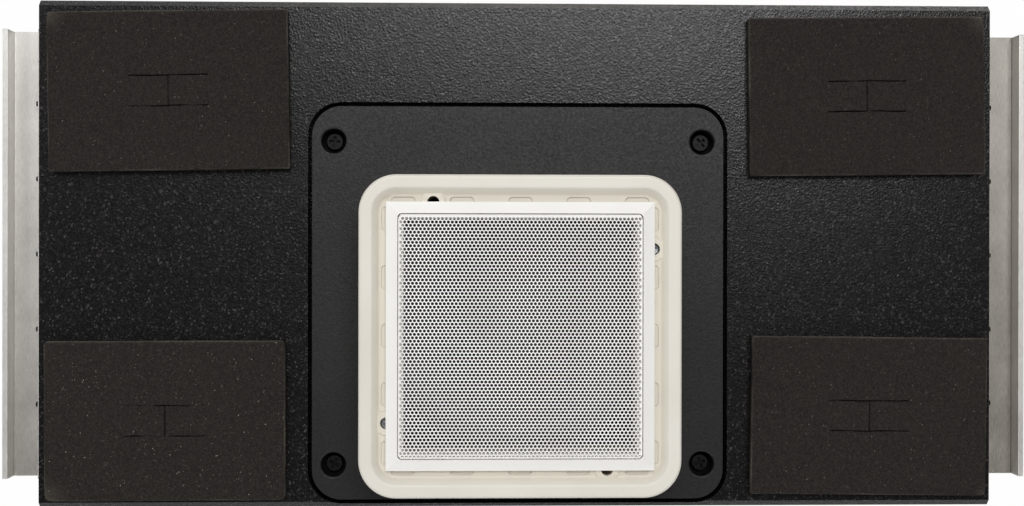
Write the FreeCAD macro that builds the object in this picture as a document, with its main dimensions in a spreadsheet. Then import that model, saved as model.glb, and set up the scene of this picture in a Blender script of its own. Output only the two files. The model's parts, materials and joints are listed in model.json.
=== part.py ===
import FreeCAD, Part
import math
import os
import Sketcher

V = FreeCAD.Vector
doc = FreeCAD.newDocument("InCeilingSubwoofer")

# Driving sizes in millimetres and degrees. Heights are above the face of the box unless they say otherwise.
SIZES = [
    # box
    ("box_length", 604, "length of the box, left to right"),
    ("box_width", 320.4, "width of the box"),
    ("box_depth", 165, "back of the box to its face"),
    ("wall", 18, "side, end and back panels"),
    ("baffle_thick", 25, "front baffle"),
    ("edge_bevel", 3.6, "bevel along the long front edges"),
    ("brace_thick", 12, "inner window braces"),
    ("brace_x", 168, "brace middle from the box middle"),
    ("brace_rib", 26, "material left around a brace window"),
    ("wool_clear", 12, "air between the damping wool and the magnet"),
    ("wool_margin", 12, "bare strip around the wool"),
    ("wool_round", 0.32, "rounded upper edge of the wool, share of its thickness"),
    # foam pads
    ("pad_long", 150, "foam pad along the box"),
    ("pad_wide", 100, "foam pad across the box"),
    ("pad_thick", 8, "foam pad"),
    ("slit_long", 49, "the two long slits of the H"),
    ("slit_apart", 19.1, "distance between the long slits"),
    ("slit_gap", 0.8, "slit width"),
    ("upper_left_x", 82.4, "upper left pad middle from the left end of the box"),
    ("upper_left_y", 57.5, "upper left pad middle from the upper edge of the box"),
    ("upper_left_turn", 0.95, "upper left pad, degrees askew"),
    ("upper_right_x", 81.1, "upper right pad middle from the right end of the box"),
    ("upper_right_y", 59.25, "upper right pad middle from the upper edge of the box"),
    ("upper_right_turn", 0.7, "upper right pad, degrees askew"),
    ("lower_left_x", 80.5, "lower left pad middle from the left end of the box"),
    ("lower_left_y", 55.95, "lower left pad middle from the lower edge of the box"),
    ("lower_left_turn", 0.2, "lower left pad, degrees askew"),
    ("lower_right_x", 79.4, "lower right pad middle from the right end of the box"),
    ("lower_right_y", 58.4, "lower right pad middle from the lower edge of the box"),
    ("lower_right_turn", -0.65, "lower right pad, degrees askew"),
    # plate
    ("plate_long", 261, "plate along the box"),
    ("plate_wide", 249, "plate across the box"),
    ("plate_thick", 16, "plate and driver board together"),
    ("plate_round", 18.5, "plate corners"),
    ("plate_gap", 2.7, "gap between plate and recess"),
    ("plate_inset", 5.1, "lower edge of the plate above the lower edge of the box"),
    ("plate_skin", 4, "plate in front of the driver board"),
    ("cavity_inset", 1, "driver cavity inside the outer edge of the surround seat"),
    ("plate_seal", 2, "gasket under the plate"),
    ("seal_inset", 3, "gasket edge inside the piece it seals"),
    ("plate_screw_x", 117, "plate screws from the plate middle, along the box"),
    ("plate_screw_y", 102.5, "plate screws from the plate middle, across the box"),
    ("bore_radius", 7.7, "counterbore of a plate screw"),
    ("bore_depth", 10, "counterbore of a plate screw"),
    ("bore_round", 1.1, "rounded mouth of the counterbore"),
    ("tee_barrel", 3.5, "tee nut barrel radius"),
    ("tee_flange", 7, "tee nut flange radius"),
    ("tee_sheet", 1.5, "tee nut flange thickness"),
    # boot
    ("boot_size", 195.8, "boot, square"),
    ("boot_round", 23, "boot corners"),
    ("rim_round", 2, "rounded outer edge of the rim"),
    ("boot_rise", 44, "boot rim"),
    ("boot_shift", 18.6, "boot middle below the plate middle"),
    ("boot_seal", 1.5, "gasket under the boot"),
    ("boot_skin", 3, "boot outer wall"),
    ("rim_band", 7.9, "flat rim of the boot"),
    ("rim_slope", 4.2, "run of the slope from the rim to the floor"),
    ("dish_round", 1.8, "rounded edges of the slope"),
    ("floor_deep", 5.2, "boot floor below the rim"),
    ("floor_thick", 4, "boot floor"),
    ("throat_open", 145, "square throat of the boot"),
    ("throat_round", 3, "corners of the throat"),
    ("throat_skin", 2.5, "throat wall"),
    ("pocket_long", 15.1, "shallow pocket in the boot floor"),
    ("pocket_wide", 8, "shallow pocket in the boot floor"),
    ("pocket_deep", 0.8, "shallow pocket in the boot floor"),
    ("pocket_round", 2.7, "corners of a shallow pocket"),
    ("pocket_pitch", 35.5, "pocket to pocket"),
    ("pocket_edge", 84.6, "outer edge of the pockets from the boot middle"),
    ("pin_near", 52.9, "pinwheel hole from the boot middle, short leg"),
    ("pin_far", 81.3, "pinwheel hole from the boot middle, long leg"),
    ("pin_radius", 3.65, "pinwheel hole"),
    ("boss_radius", 7.8, "ring around a pinwheel hole"),
    ("boss_proud", 0.9, "ring above the boot floor"),
    ("boot_seat", 6, "boot screw seat below the boot floor"),
    ("boot_bite", 7, "boot screw in the plate"),
    # grille
    ("frame_outer", 162.8, "grille frame, square"),
    ("frame_open", 148.7, "opening of the grille frame"),
    ("frame_edge", 2.3, "outer edge of the frame"),
    ("frame_slope", 3, "rise of the bevel from outer to inner edge"),
    ("frame_round", 2.7, "inner corners of the frame"),
    ("ledge_open", 142, "opening under the sheet"),
    ("spigot_deep", 12, "frame spigot in the throat"),
    ("spigot_slack", 0.3, "spigot to throat, each side"),
    ("sheet_thick", 1, "perforated sheet"),
    ("sheet_drop", 1.5, "sheet below the inner edge of the frame"),
    ("ring_tall", 2, "ring that holds the sheet above the ledge"),
    ("ring_wide", 1, "ring that holds the sheet above the ledge"),
    ("sheet_slack", 0.5, "sheet to frame, each side"),
    ("vent_radius", 5.5, "coarse vent hole in the sheet"),
    ("vent_pitch", 18, "coarse vent holes, side to side"),
    # driver, heights from the front of its flange
    ("flange_radius", 106.5, "basket flange"),
    ("flange_thick", 4, "basket flange"),
    ("flange_slack", 2, "basket flange to the hole in the baffle"),
    ("driver_seal", 2, "gasket between flange and plate"),
    ("flange_land", 10.5, "flat of the flange outside the surround seat"),
    ("lip_wide", 9.4, "surround seat"),
    ("lip_deep", 1.5, "surround seat below the flange front"),
    ("lip_skin", 1.3, "surround lip and roll thickness"),
    ("roll_gap", 7.6, "surround seat to the edge of the cone"),
    ("glue_lip", 7, "lip of the cone under the surround"),
    ("cone_skin", 1.2, "cone thickness"),
    ("neck_deep", 32, "cone neck below the flange front"),
    ("shelf_outer", 68, "spider shelf, outer radius"),
    ("shelf_inner", 57, "spider shelf, inner radius"),
    ("shelf_deep", 37, "spider shelf below the flange front"),
    ("shelf_thick", 7.5, "spider shelf"),
    ("shelf_skin", 4, "basket wall outside the spider shelf"),
    ("spider_skin", 0.9, "spider cloth"),
    ("spider_wave", 2.4, "spider corrugation height"),
    ("basket_deep", 62, "back of the basket below the flange front"),
    ("basket_floor", 4, "back ring of the basket"),
    ("ring_outer", 47, "back ring of the basket"),
    ("ring_inner", 31, "back ring of the basket"),
    ("window_inner", 74, "basket window, inner radius"),
    ("window_outer", 86, "basket window, outer radius"),
    ("window_half", 21, "half the angle of a basket window"),
    ("coil_inner", 25, "inner radius of the coil former"),
    ("former_skin", 0.6, "coil former"),
    ("coil_skin", 1.6, "winding"),
    ("coil_tall", 18, "winding"),
    ("coil_gap", 1, "air on each side of the coil"),
    ("glue_gap", 0.1, "glue line between round pieces"),
    ("cap_radius", 36, "dust cap edge"),
    ("cap_rise", 9, "dust cap dome"),
    ("pole_plate", 6, "top plate and yoke plate"),
    ("pole_plate_radius", 56, "top plate and yoke plate"),
    ("magnet_radius", 60, "magnet"),
    ("magnet_bore", 33, "magnet"),
    ("magnet_thick", 18, "magnet"),
    ("pole_vent", 8, "vent through the yoke"),
    ("strip_long", 34, "tag strip"),
    ("strip_deep", 7, "tag strip, out from the basket"),
    ("strip_tall", 6, "tag strip"),
    ("blade_long", 12, "solder tag"),
    ("blade_wide", 6.3, "solder tag"),
    ("blade_thick", 0.8, "solder tag"),
    # rails
    ("rail_length", 286, "rail along the box end"),
    ("rail_reach", 25.5, "rail out from the box end"),
    ("rail_lip", 3.5, "outer lip of the rail"),
    ("rail_thick", 3.2, "leg and web of the rail"),
    ("rail_channel", 13, "depth of the channel"),
    ("rail_drop", 8, "top of the lip below the face"),
    ("rail_screw_near", 48, "inner rail screws from the middle"),
    ("rail_screw_far", 96, "outer rail screws from the middle"),
    # terminal cup
    ("cup_long", 78, "cup flange along the box"),
    ("cup_tall", 56, "cup flange"),
    ("cup_lip", 3, "cup flange"),
    ("cup_deep", 14, "cup floor below the panel face"),
    ("cup_open_long", 52, "cup opening along the box"),
    ("cup_open_tall", 36, "cup opening"),
    ("cup_skin", 2.5, "cup wall and floor"),
    ("cup_round", 6, "cup corners"),
    ("cup_fit", 0.5, "cup to panel cut-out"),
    ("cup_height", 78, "cup middle above the back of the box"),
    ("cup_screw_x", 33, "cup screws from the cup middle, along the box"),
    ("cup_screw_y", 22, "cup screws from the cup middle"),
    ("post_apart", 19, "binding post to binding post"),
    ("post_radius", 2.4, "binding post stud"),
    ("post_collar", 5.5, "binding post collar radius"),
    ("post_collar_tall", 2, "binding post collar"),
    ("post_tail", 14, "stud behind the cup floor"),
    ("post_tip", 13, "stud above the collar"),
    ("nut_radius", 4.6, "post nut across corners, radius"),
    ("nut_tall", 3.2, "post nut"),
    ("grip_radius", 6, "post cap"),
    ("grip_tall", 14, "post cap"),
    ("grip_slack", 0.4, "post cap to collar and stud"),
    ("flute_radius", 1, "flute in the post cap"),
    ("wire_radius", 1.3, "inside lead"),
    ("wire_straight", 14, "straight end of an inside lead"),
    # fasteners
    ("screw_slack", 0.25, "hole to shank, each side"),
    ("thread_slack", 0.1, "tapped hole to shank, each side"),
    ("plate_head", 5.45, "plate screw head radius"),
    ("plate_head_tall", 3.2, "plate screw head"),
    ("plate_shank", 2.5, "plate screw shank radius"),
    ("plate_screw_long", 22, "plate screw under the head"),
    ("boot_head", 3.4, "boot screw head radius"),
    ("boot_head_tall", 2.4, "boot screw head"),
    ("boot_shank", 1.9, "boot screw shank radius"),
    ("driver_head", 4.4, "driver screw head radius"),
    ("driver_head_tall", 3, "driver screw head"),
    ("driver_shank", 2.4, "driver screw shank radius"),
    ("driver_bite", 9, "driver screw in the plate"),
    ("rail_head", 1.7, "rail screw head radius"),
    ("rail_head_tall", 2.6, "rail screw head"),
    ("rail_shank", 1.2, "rail screw shank radius"),
    ("rail_screw_long", 18, "rail screw under the head"),
    ("cup_head", 3.2, "cup screw head radius"),
    ("cup_head_tall", 2, "cup screw head"),
    ("cup_shank", 1.5, "cup screw shank radius"),
    ("cup_screw_long", 13, "cup screw under the head"),
    ("cross_arm", 0.62, "cross recess, share of the head radius"),
    ("cross_width", 0.34, "cross recess, share of the head radius"),
    ("cross_deep", 0.85, "cross recess, share of the head height"),
]

sheet = doc.addObject("Spreadsheet::Sheet", "Sizes")
for row, (name, value, note) in enumerate(SIZES, start=1):
    sheet.set("A%d" % row, note)
    sheet.set("B%d" % row, str(value))
    sheet.setAlias("B%d" % row, name)
doc.recompute()


class Size:
    """A number together with the sheet expression that drives it."""

    def __init__(self, value, text):
        self.value = float(value)
        self.text = text

    def __add__(self, other):
        other = as_size(other)
        return Size(self.value + other.value, "(%s + %s)" % (self.text, other.text))

    def __sub__(self, other):
        other = as_size(other)
        return Size(self.value - other.value, "(%s - %s)" % (self.text, other.text))

    def __mul__(self, other):
        other = as_size(other)
        return Size(self.value * other.value, "(%s * %s)" % (self.text, other.text))

    def __truediv__(self, other):
        other = as_size(other)
        return Size(self.value / other.value, "(%s / %s)" % (self.text, other.text))

    def __neg__(self):
        return Size(-self.value, "(0 - %s)" % self.text)

    def __radd__(self, other):
        return as_size(other) + self

    def __rsub__(self, other):
        return as_size(other) - self

    def __rmul__(self, other):
        return as_size(other) * self


def as_size(item):
    if isinstance(item, Size):
        return item
    if item < 0:
        return Size(item, "(0 - %s)" % repr(float(-item)))
    return Size(item, repr(float(item)))


def polar(radius, angle):
    """A point on a circle, from a radius and an angle in degrees."""
    radius = as_size(radius)
    angle = as_size(angle)
    turn = math.radians(angle.value)
    x = Size(radius.value * math.cos(turn), "(%s * cos(%s * 1 deg))" % (radius.text, angle.text))
    y = Size(radius.value * math.sin(turn), "(%s * sin(%s * 1 deg))" % (radius.text, angle.text))
    return x, y


class Names:
    """The sizes as attributes."""


d = Names()
for name, value, note in SIZES:
    setattr(d, name, Size(value, "Sizes." + name))

parts = []


def bind(item, prop, size):
    item.setExpression(prop, as_size(size).text)


def place(item, x=0, y=0, z=0, axis=None, angle=0):
    if axis is not None:
        item.Placement = FreeCAD.Placement(V(0, 0, 0), FreeCAD.Rotation(axis, as_size(angle).value))
    bind(item, "Placement.Base.x", x)
    bind(item, "Placement.Base.y", y)
    bind(item, "Placement.Base.z", z)


def keep(item, label):
    item.Label = label
    parts.append(item)
    return item


def body(label):
    return keep(doc.addObject("PartDesign::Body", label), label)


def origin_feature(owner, role):
    return [f for f in owner.Origin.OriginFeatures if f.Role == role][0]


def sketch(owner, name, plane="XY_Plane", offset=0):
    """A sketch on an origin plane of the body, moved along the plane's normal."""
    drawn = owner.newObject("Sketcher::SketchObject", name)
    drawn.AttachmentSupport = [(origin_feature(owner, plane), "")]
    drawn.MapMode = "FlatFace"
    bind(drawn, "AttachmentOffset.Base.z", offset)
    return drawn


def fix_point(drawn, geo, pos, x, y):
    x = as_size(x)
    y = as_size(y)
    where = drawn.addConstraint(Sketcher.Constraint("DistanceX", -1, 1, geo, pos, x.value))
    drawn.setExpression("Constraints[%d]" % where, x.text)
    where = drawn.addConstraint(Sketcher.Constraint("DistanceY", -1, 1, geo, pos, y.value))
    drawn.setExpression("Constraints[%d]" % where, y.text)


def fix_radius(drawn, geo, radius):
    where = drawn.addConstraint(Sketcher.Constraint("Radius", geo, radius.value))
    drawn.setExpression("Constraints[%d]" % where, radius.text)


def outline(drawn, points, arcs=None, closed=True):
    """Lines through the points. arcs maps a segment to its radius, negative for a centre on the right."""
    arcs = arcs or {}
    points = [(as_size(x), as_size(y)) for x, y in points]
    count = len(points)
    starts = []
    ends = []
    for i in range(count if closed else count - 1):
        a = V(points[i][0].value, points[i][1].value, 0)
        b = V(points[(i + 1) % count][0].value, points[(i + 1) % count][1].value, 0)
        if i not in arcs:
            geo = drawn.addGeometry(Part.LineSegment(a, b), False)
            starts.append((geo, 1))
            ends.append((geo, 2))
            continue
        radius = as_size(arcs[i])
        side = 1 if radius.value > 0 else -1
        reach = abs(radius.value)
        along = b - a
        left = V(-along.y, along.x, 0).normalize()
        away = math.sqrt(max(reach ** 2 - (along.Length / 2) ** 2, 0))
        centre = (a + b) * 0.5 + left * (side * away)
        first, last = (a, b) if side > 0 else (b, a)
        from_angle = math.atan2(first.y - centre.y, first.x - centre.x)
        to_angle = math.atan2(last.y - centre.y, last.x - centre.x)
        circle_curve = Part.Circle(centre, V(0, 0, 1), reach)
        geo = drawn.addGeometry(Part.ArcOfCircle(circle_curve, from_angle, to_angle), False)
        starts.append((geo, 1 if side > 0 else 2))
        ends.append((geo, 2 if side > 0 else 1))
        fix_radius(drawn, geo, radius if side > 0 else -radius)
    for i in range(len(starts)):
        if closed or i + 1 < len(starts):
            follows = starts[(i + 1) % len(starts)]
            drawn.addConstraint(Sketcher.Constraint("Coincident", ends[i][0], ends[i][1], *follows))
    for i in range(len(starts)):
        fix_point(drawn, starts[i][0], starts[i][1], *points[i])
    if not closed:
        fix_point(drawn, ends[-1][0], ends[-1][1], *points[-1])


def rectangle(drawn, long, wide, x=0, y=0):
    left = as_size(x) - long / 2
    right = as_size(x) + long / 2
    low = as_size(y) - wide / 2
    high = as_size(y) + wide / 2
    outline(drawn, [(left, low), (right, low), (right, high), (left, high)])


def rounded(drawn, long, wide, radius, x=0, y=0):
    left = as_size(x) - long / 2
    right = as_size(x) + long / 2
    low = as_size(y) - wide / 2
    high = as_size(y) + wide / 2
    corners = [
        (left + radius, low),
        (right - radius, low),
        (right, low + radius),
        (right, high - radius),
        (right - radius, high),
        (left + radius, high),
        (left, high - radius),
        (left, low + radius),
    ]
    outline(drawn, corners, {1: radius, 3: radius, 5: radius, 7: radius})


def circle(drawn, radius, x=0, y=0):
    x = as_size(x)
    y = as_size(y)
    radius = as_size(radius)
    geo = drawn.addGeometry(Part.Circle(V(x.value, y.value, 0), V(0, 0, 1), radius.value), False)
    fix_radius(drawn, geo, radius)
    fix_point(drawn, geo, 3, x, y)


def feature(owner, kind, name, drawn, **settings):
    doc.recompute()
    made = owner.newObject("PartDesign::" + kind, name)
    made.Profile = drawn
    for prop, value in settings.items():
        setattr(made, prop, value)
    drawn.Visibility = False
    return made


def pad(owner, drawn, length, draft=0):
    made = feature(owner, "Pad", drawn.Name + "Pad", drawn, TaperAngle=-draft)
    bind(made, "Length", length)
    doc.recompute()
    return made


def pocket(owner, drawn, length, draft=0):
    """A cut against the sketch normal: down from an XY sketch, outward in Y from an XZ sketch."""
    made = feature(owner, "Pocket", drawn.Name + "Cut", drawn, TaperAngle=-draft)
    bind(made, "Length", length)
    doc.recompute()
    return made


def revolve(owner, points, arcs=None, name="Section"):
    """A solid of revolution about Z from a closed section of radius and height."""
    drawn = sketch(owner, owner.Name + name, "XZ_Plane")
    outline(drawn, points, arcs)
    made = feature(owner, "Revolution", owner.Name + name + "Turn", drawn)
    made.ReferenceAxis = (drawn, ["V_Axis"])
    made.Angle = 360
    doc.recompute()
    return made


def around(owner, original, count):
    """Copies of a feature spaced evenly about Z."""
    made = owner.newObject("PartDesign::PolarPattern", original.Name + "Around")
    made.Originals = [original]
    made.Axis = (origin_feature(owner, "Z_Axis"), [""])
    made.Angle = 360
    made.Occurrences = count
    owner.Tip = made
    doc.recompute()
    return made


def round_over(owner, radius, height, bore=None, within=None):
    """A fillet on the edges at one height: all, the rims of bores of one radius, or those in a square."""
    base = owner.Tip
    names = []
    for i, edge in enumerate(base.Shape.Edges, start=1):
        if abs(edge.BoundBox.ZMin - height.value) > 0.01 or abs(edge.BoundBox.ZMax - height.value) > 0.01:
            continue
        box = edge.BoundBox
        if within is not None and max(box.XMax, box.YMax, -box.XMin, -box.YMin) > within.value + 0.01:
            continue
        rim = isinstance(edge.Curve, Part.Circle) and edge.isClosed()
        if bore is None or (rim and abs(edge.Curve.Radius - bore.value) < 0.01):
            names.append("Edge%d" % i)
    made = owner.newObject("PartDesign::Fillet", base.Name + "Round")
    made.Base = (base, names)
    bind(made, "Radius", radius)
    doc.recompute()
    return made


def slab(label, long, wide, thick, x=0, y=0, z=0, turned=0):
    """A plain board with its lowest face at z, centred on x and y."""
    board = body(label)
    drawn = sketch(board, label + "Outline")
    rectangle(drawn, long, wide)
    pad(board, drawn, thick)
    place(board, x, y, z, V(0, 0, 1), turned)
    return board


# Draft of moulded edges, in degrees
EDGE_DRAFT = 45


def screw(name, head, head_tall, shank, long, cross=True):
    """One screw standing head up, its seat at height zero. It is copied into a group."""
    made = doc.addObject("PartDesign::Body", name)
    revolve(made, [
        (0, -long),
        (shank * 0.6, -long),
        (shank, shank * 0.8 - long),
        (shank, 0),
        (head, 0),
        (head, head_tall * 0.7),
        (head * 0.9, head_tall),
        (0, head_tall),
    ])
    if cross:
        drawn = sketch(made, name + "Cross", offset=head_tall)
        arm = head * d.cross_arm
        half = head * d.cross_width / 2
        outline(drawn, [
            (half, half), (half, arm), (-half, arm), (-half, half), (-arm, half), (-arm, -half),
            (-half, -half), (-half, -arm), (half, -arm), (half, -half), (arm, -half), (arm, half),
        ])
        pocket(made, drawn, head_tall * d.cross_deep)
    return made


def group(label, master, spots):
    """Copies of one fastener, each a solid of its own. A spot is x, y, z, axis, angle."""
    copies = []
    for i, (x, y, z, axis, angle) in enumerate(spots):
        copy = doc.addObject("App::Link", "%s_%d" % (label, i + 1))
        copy.LinkedObject = master
        copy.LinkTransform = False
        place(copy, x, y, z, axis, angle)
        copies.append(copy)
    made = doc.addObject("Part::Compound", label)
    made.Links = copies
    doc.recompute()
    return keep(made, label)


UP = V(0, 0, 1)
ALONG = V(1, 0, 0)
ACROSS = V(0, 1, 0)

# levels shared by several pieces, above the back of the box
face = d.box_depth
baffle_back = face - d.baffle_thick
inner_wide = d.box_width - d.wall * 2
inner_tall = baffle_back - d.wall
plate_back = face - d.plate_thick
ledge = plate_back - d.plate_seal
flange_front = plate_back - d.driver_seal
boot_base = face + d.boot_seal
boot_floor = face + d.boot_rise - d.floor_deep
driver_deep = d.basket_deep + d.pole_plate * 2 + d.magnet_thick
wool_thick = flange_front - driver_deep - d.wall - d.wool_clear

# the plate keeps to the lower edge of the box, the driver to the plate, and the boot hangs lower still
plate_drop = (d.box_width - d.plate_wide) / 2 - d.plate_inset
boot_drop = plate_drop + d.boot_shift

# radii that follow the basket flange inward
baffle_hole = d.flange_radius + d.flange_slack
bolt_circle = d.flange_radius - d.flange_land / 2
lip_outer = d.flange_radius - d.flange_land
lip_inner = lip_outer - d.lip_wide
cone_outer = lip_inner - d.roll_gap
cone_glue = cone_outer - d.glue_lip
cavity_radius = lip_outer - d.cavity_inset

# box panels
baffle = body("front_baffle")
section = sketch(baffle, "BaffleSection", "YZ_Plane", -d.box_length / 2)
half = d.box_width / 2
outline(section, [
    (-half, 0),
    (half, 0),
    (half, d.baffle_thick - d.edge_bevel),
    (half - d.edge_bevel, d.baffle_thick),
    (d.edge_bevel - half, d.baffle_thick),
    (-half, d.baffle_thick - d.edge_bevel),
])
pad(baffle, section, d.box_length)
recess = sketch(baffle, "PlateRecess", offset=d.baffle_thick)
rounded(
    recess,
    d.plate_long + d.plate_gap * 2,
    d.plate_wide + d.plate_gap * 2,
    d.plate_round + d.plate_gap,
    y=-plate_drop,
)
pocket(baffle, recess, d.plate_thick + d.plate_seal)
opening = sketch(baffle, "DriverOpening", offset=d.baffle_thick)
circle(opening, baffle_hole, y=-plate_drop)
pocket(baffle, opening, d.baffle_thick)
tee_holes = sketch(baffle, "TeeNutHoles", offset=d.baffle_thick)
for side in (-1, 1):
    for end in (-1, 1):
        circle(
            tee_holes,
            d.tee_barrel + d.thread_slack,
            d.plate_screw_x * side,
            d.plate_screw_y * end - plate_drop,
        )
pocket(baffle, tee_holes, d.baffle_thick)
place(baffle, z=baffle_back)

slab("back_panel", d.box_length, d.box_width, d.wall)
slab("side_panel_lower", d.box_length, d.wall, inner_tall, y=(d.wall - d.box_width) / 2, z=d.wall)
upper = slab("side_panel_upper", d.box_length, d.wall, inner_tall, y=(d.box_width - d.wall) / 2, z=d.wall)
cup_spot = d.cup_height - d.wall
cutout = sketch(upper, "CupCutout", "XZ_Plane", d.wall / 2)
rounded(
    cutout,
    d.cup_open_long + (d.cup_skin + d.cup_fit) * 2,
    d.cup_open_tall + (d.cup_skin + d.cup_fit) * 2,
    d.cup_round,
    y=cup_spot,
)
pocket(upper, cutout, d.wall)
pilots = sketch(upper, "CupPilots", "XZ_Plane", d.cup_screw_long - d.wall / 2)
for side in (-1, 1):
    for end in (-1, 1):
        circle(
            pilots,
            d.cup_shank + d.thread_slack,
            d.cup_screw_x * side,
            d.cup_screw_y * end + cup_spot,
        )
pocket(upper, pilots, d.cup_screw_long)

for label, side in (("end_panel_right", 1), ("end_panel_left", -1)):
    slab(label, d.wall, inner_wide, inner_tall, x=(d.box_length - d.wall) / 2 * side, z=d.wall)

# window braces between baffle and back panel
for label, side in (("brace_left", -1), ("brace_right", 1)):
    brace = slab(label, d.brace_thick, inner_wide, inner_tall, x=d.brace_x * side, z=d.wall)
    window = sketch(brace, label + "Window", "YZ_Plane", d.brace_thick / 2)
    for end in (-1, 1):
        rounded(
            window,
            inner_wide / 2 - d.brace_rib * 1.5,
            inner_tall - d.brace_rib * 2,
            d.brace_rib / 2,
            (inner_wide / 4 - d.brace_rib / 4) * end,
            inner_tall / 2,
        )
    pocket(brace, window, d.brace_thick)

wool = slab(
    "damping_wool",
    d.brace_x * 2 - d.brace_thick - d.wool_margin * 2,
    inner_wide - d.wool_margin * 2,
    wool_thick,
    z=d.wall,
)
round_over(wool, wool_thick * d.wool_round, wool_thick)

# foam pads with an H-shaped slit, each stuck on a little askew
for label, side, end, in_x, in_y, turned in (
    ("foam_pad_upper_left", -1, 1, d.upper_left_x, d.upper_left_y, d.upper_left_turn),
    ("foam_pad_upper_right", 1, 1, d.upper_right_x, d.upper_right_y, d.upper_right_turn),
    ("foam_pad_lower_left", -1, -1, d.lower_left_x, d.lower_left_y, d.lower_left_turn),
    ("foam_pad_lower_right", 1, -1, d.lower_right_x, d.lower_right_y, d.lower_right_turn),
):
    x = (d.box_length / 2 - in_x) * side
    y = (d.box_width / 2 - in_y) * end
    foam = slab(label, d.pad_long, d.pad_wide, d.pad_thick, x, y, face, turned)
    slit = sketch(foam, label + "Slit", offset=d.pad_thick)
    far = d.slit_apart / 2 + d.slit_gap / 2
    near = d.slit_apart / 2 - d.slit_gap / 2
    tip = d.slit_long / 2
    thin = d.slit_gap / 2
    outline(slit, [
        (-tip, near), (-thin, near), (-thin, -near), (-tip, -near), (-tip, -far), (tip, -far),
        (tip, -near), (thin, -near), (thin, near), (tip, near), (tip, far), (-tip, far),
    ])
    pocket(foam, slit, d.pad_thick)

# plate and the driver board behind it, their middle at the driver axis
shift = -d.boot_shift
board_thick = d.plate_thick - d.plate_skin
boss_deep = d.boot_bite - d.plate_skin
corners = [(d.plate_screw_x * side, d.plate_screw_y * end) for side in (-1, 1) for end in (-1, 1)]
lid = body("aperture_plate")
lid_outline = sketch(lid, "PlateOutline")
rounded(lid_outline, d.plate_long, d.plate_wide, d.plate_round)
pad(lid, lid_outline, d.plate_skin)
boss = sketch(lid, "PlateBoss", offset=-boss_deep)
circle(boss, d.boot_shank * 2.4, d.pin_far, d.pin_near + shift)
pad(lid, boss, boss_deep)
aperture = sketch(lid, "PlateAperture", offset=d.plate_skin)
rounded(aperture, d.throat_open, d.throat_open, d.throat_round, y=shift)
pocket(lid, aperture, d.plate_skin)
bores = sketch(lid, "PlateBores", offset=d.plate_skin)
for x, y in corners:
    circle(bores, d.bore_radius, x, y)
pocket(lid, bores, d.plate_skin)
round_over(lid, d.bore_round, d.plate_skin, d.bore_radius)
boot_taps = sketch(lid, "PlateBootTaps", offset=d.plate_skin)
for side in (-1, 1):
    circle(boot_taps, d.boot_shank + d.thread_slack, d.pin_far * side, d.pin_near * side + shift)
pocket(lid, boot_taps, d.boot_bite)
place(lid, y=-plate_drop, z=plate_back + board_thick)

board = body("driver_board")
board_outline = sketch(board, "BoardOutline")
rounded(board_outline, d.plate_long, d.plate_wide, d.plate_round)
pad(board, board_outline, board_thick)
cavity = sketch(board, "BoardCavity", offset=board_thick)
circle(cavity, cavity_radius)
pocket(board, cavity, board_thick)
for name, radius, deep in (
    ("BoardBores", d.bore_radius, d.bore_depth - d.plate_skin),
    ("BoardScrewHoles", d.plate_shank + d.screw_slack, board_thick),
):
    holes = sketch(board, name, offset=board_thick)
    for x, y in corners:
        circle(holes, radius, x, y)
    pocket(board, holes, deep)
board_tap = sketch(board, "BoardBootTap", offset=board_thick)
circle(board_tap, d.boot_shank + d.thread_slack, -d.pin_far, shift - d.pin_near)
pocket(board, board_tap, boss_deep)
tap = sketch(board, "BoardDriverTap", offset=d.driver_bite + d.thread_slack)
circle(tap, d.driver_shank + d.thread_slack, *polar(bolt_circle, 22.5))
around(board, pocket(board, tap, d.driver_bite + d.thread_slack), 8)
place(board, y=-plate_drop, z=plate_back)

seal = body("plate_gasket")
seal_outline = sketch(seal, "PlateSealOutline")
rounded(
    seal_outline,
    d.plate_long - d.seal_inset * 2,
    d.plate_wide - d.seal_inset * 2,
    d.plate_round - d.seal_inset,
)
circle(seal_outline, baffle_hole)
for side in (-1, 1):
    for end in (-1, 1):
        circle(seal_outline, d.tee_barrel, d.plate_screw_x * side, d.plate_screw_y * end)
pad(seal, seal_outline, d.plate_seal)
place(seal, y=-plate_drop, z=ledge)

plate_spots = []
tee_spots = []
for side in (-1, 1):
    for end in (-1, 1):
        x = d.plate_screw_x * side
        y = d.plate_screw_y * end - plate_drop
        plate_spots.append((x, y, face - d.bore_depth, UP, 8 + 23 * side + 11 * end))
        tee_spots.append((x, y, baffle_back, UP, 0))
plate_screw = screw("PlateScrew", d.plate_head, d.plate_head_tall, d.plate_shank, d.plate_screw_long)
group("plate_screws", plate_screw, plate_spots)
tee = doc.addObject("PartDesign::Body", "TeeNut")
tee_bore = d.plate_shank + d.thread_slack
revolve(tee, [
    (tee_bore, -d.tee_sheet),
    (d.tee_flange, -d.tee_sheet),
    (d.tee_flange, 0),
    (d.tee_barrel, 0),
    (d.tee_barrel, (d.baffle_thick - d.plate_thick - d.plate_seal) * 0.85),
    (tee_bore, (d.baffle_thick - d.plate_thick - d.plate_seal) * 0.85),
])
group("plate_tee_nuts", tee, tee_spots)

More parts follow.
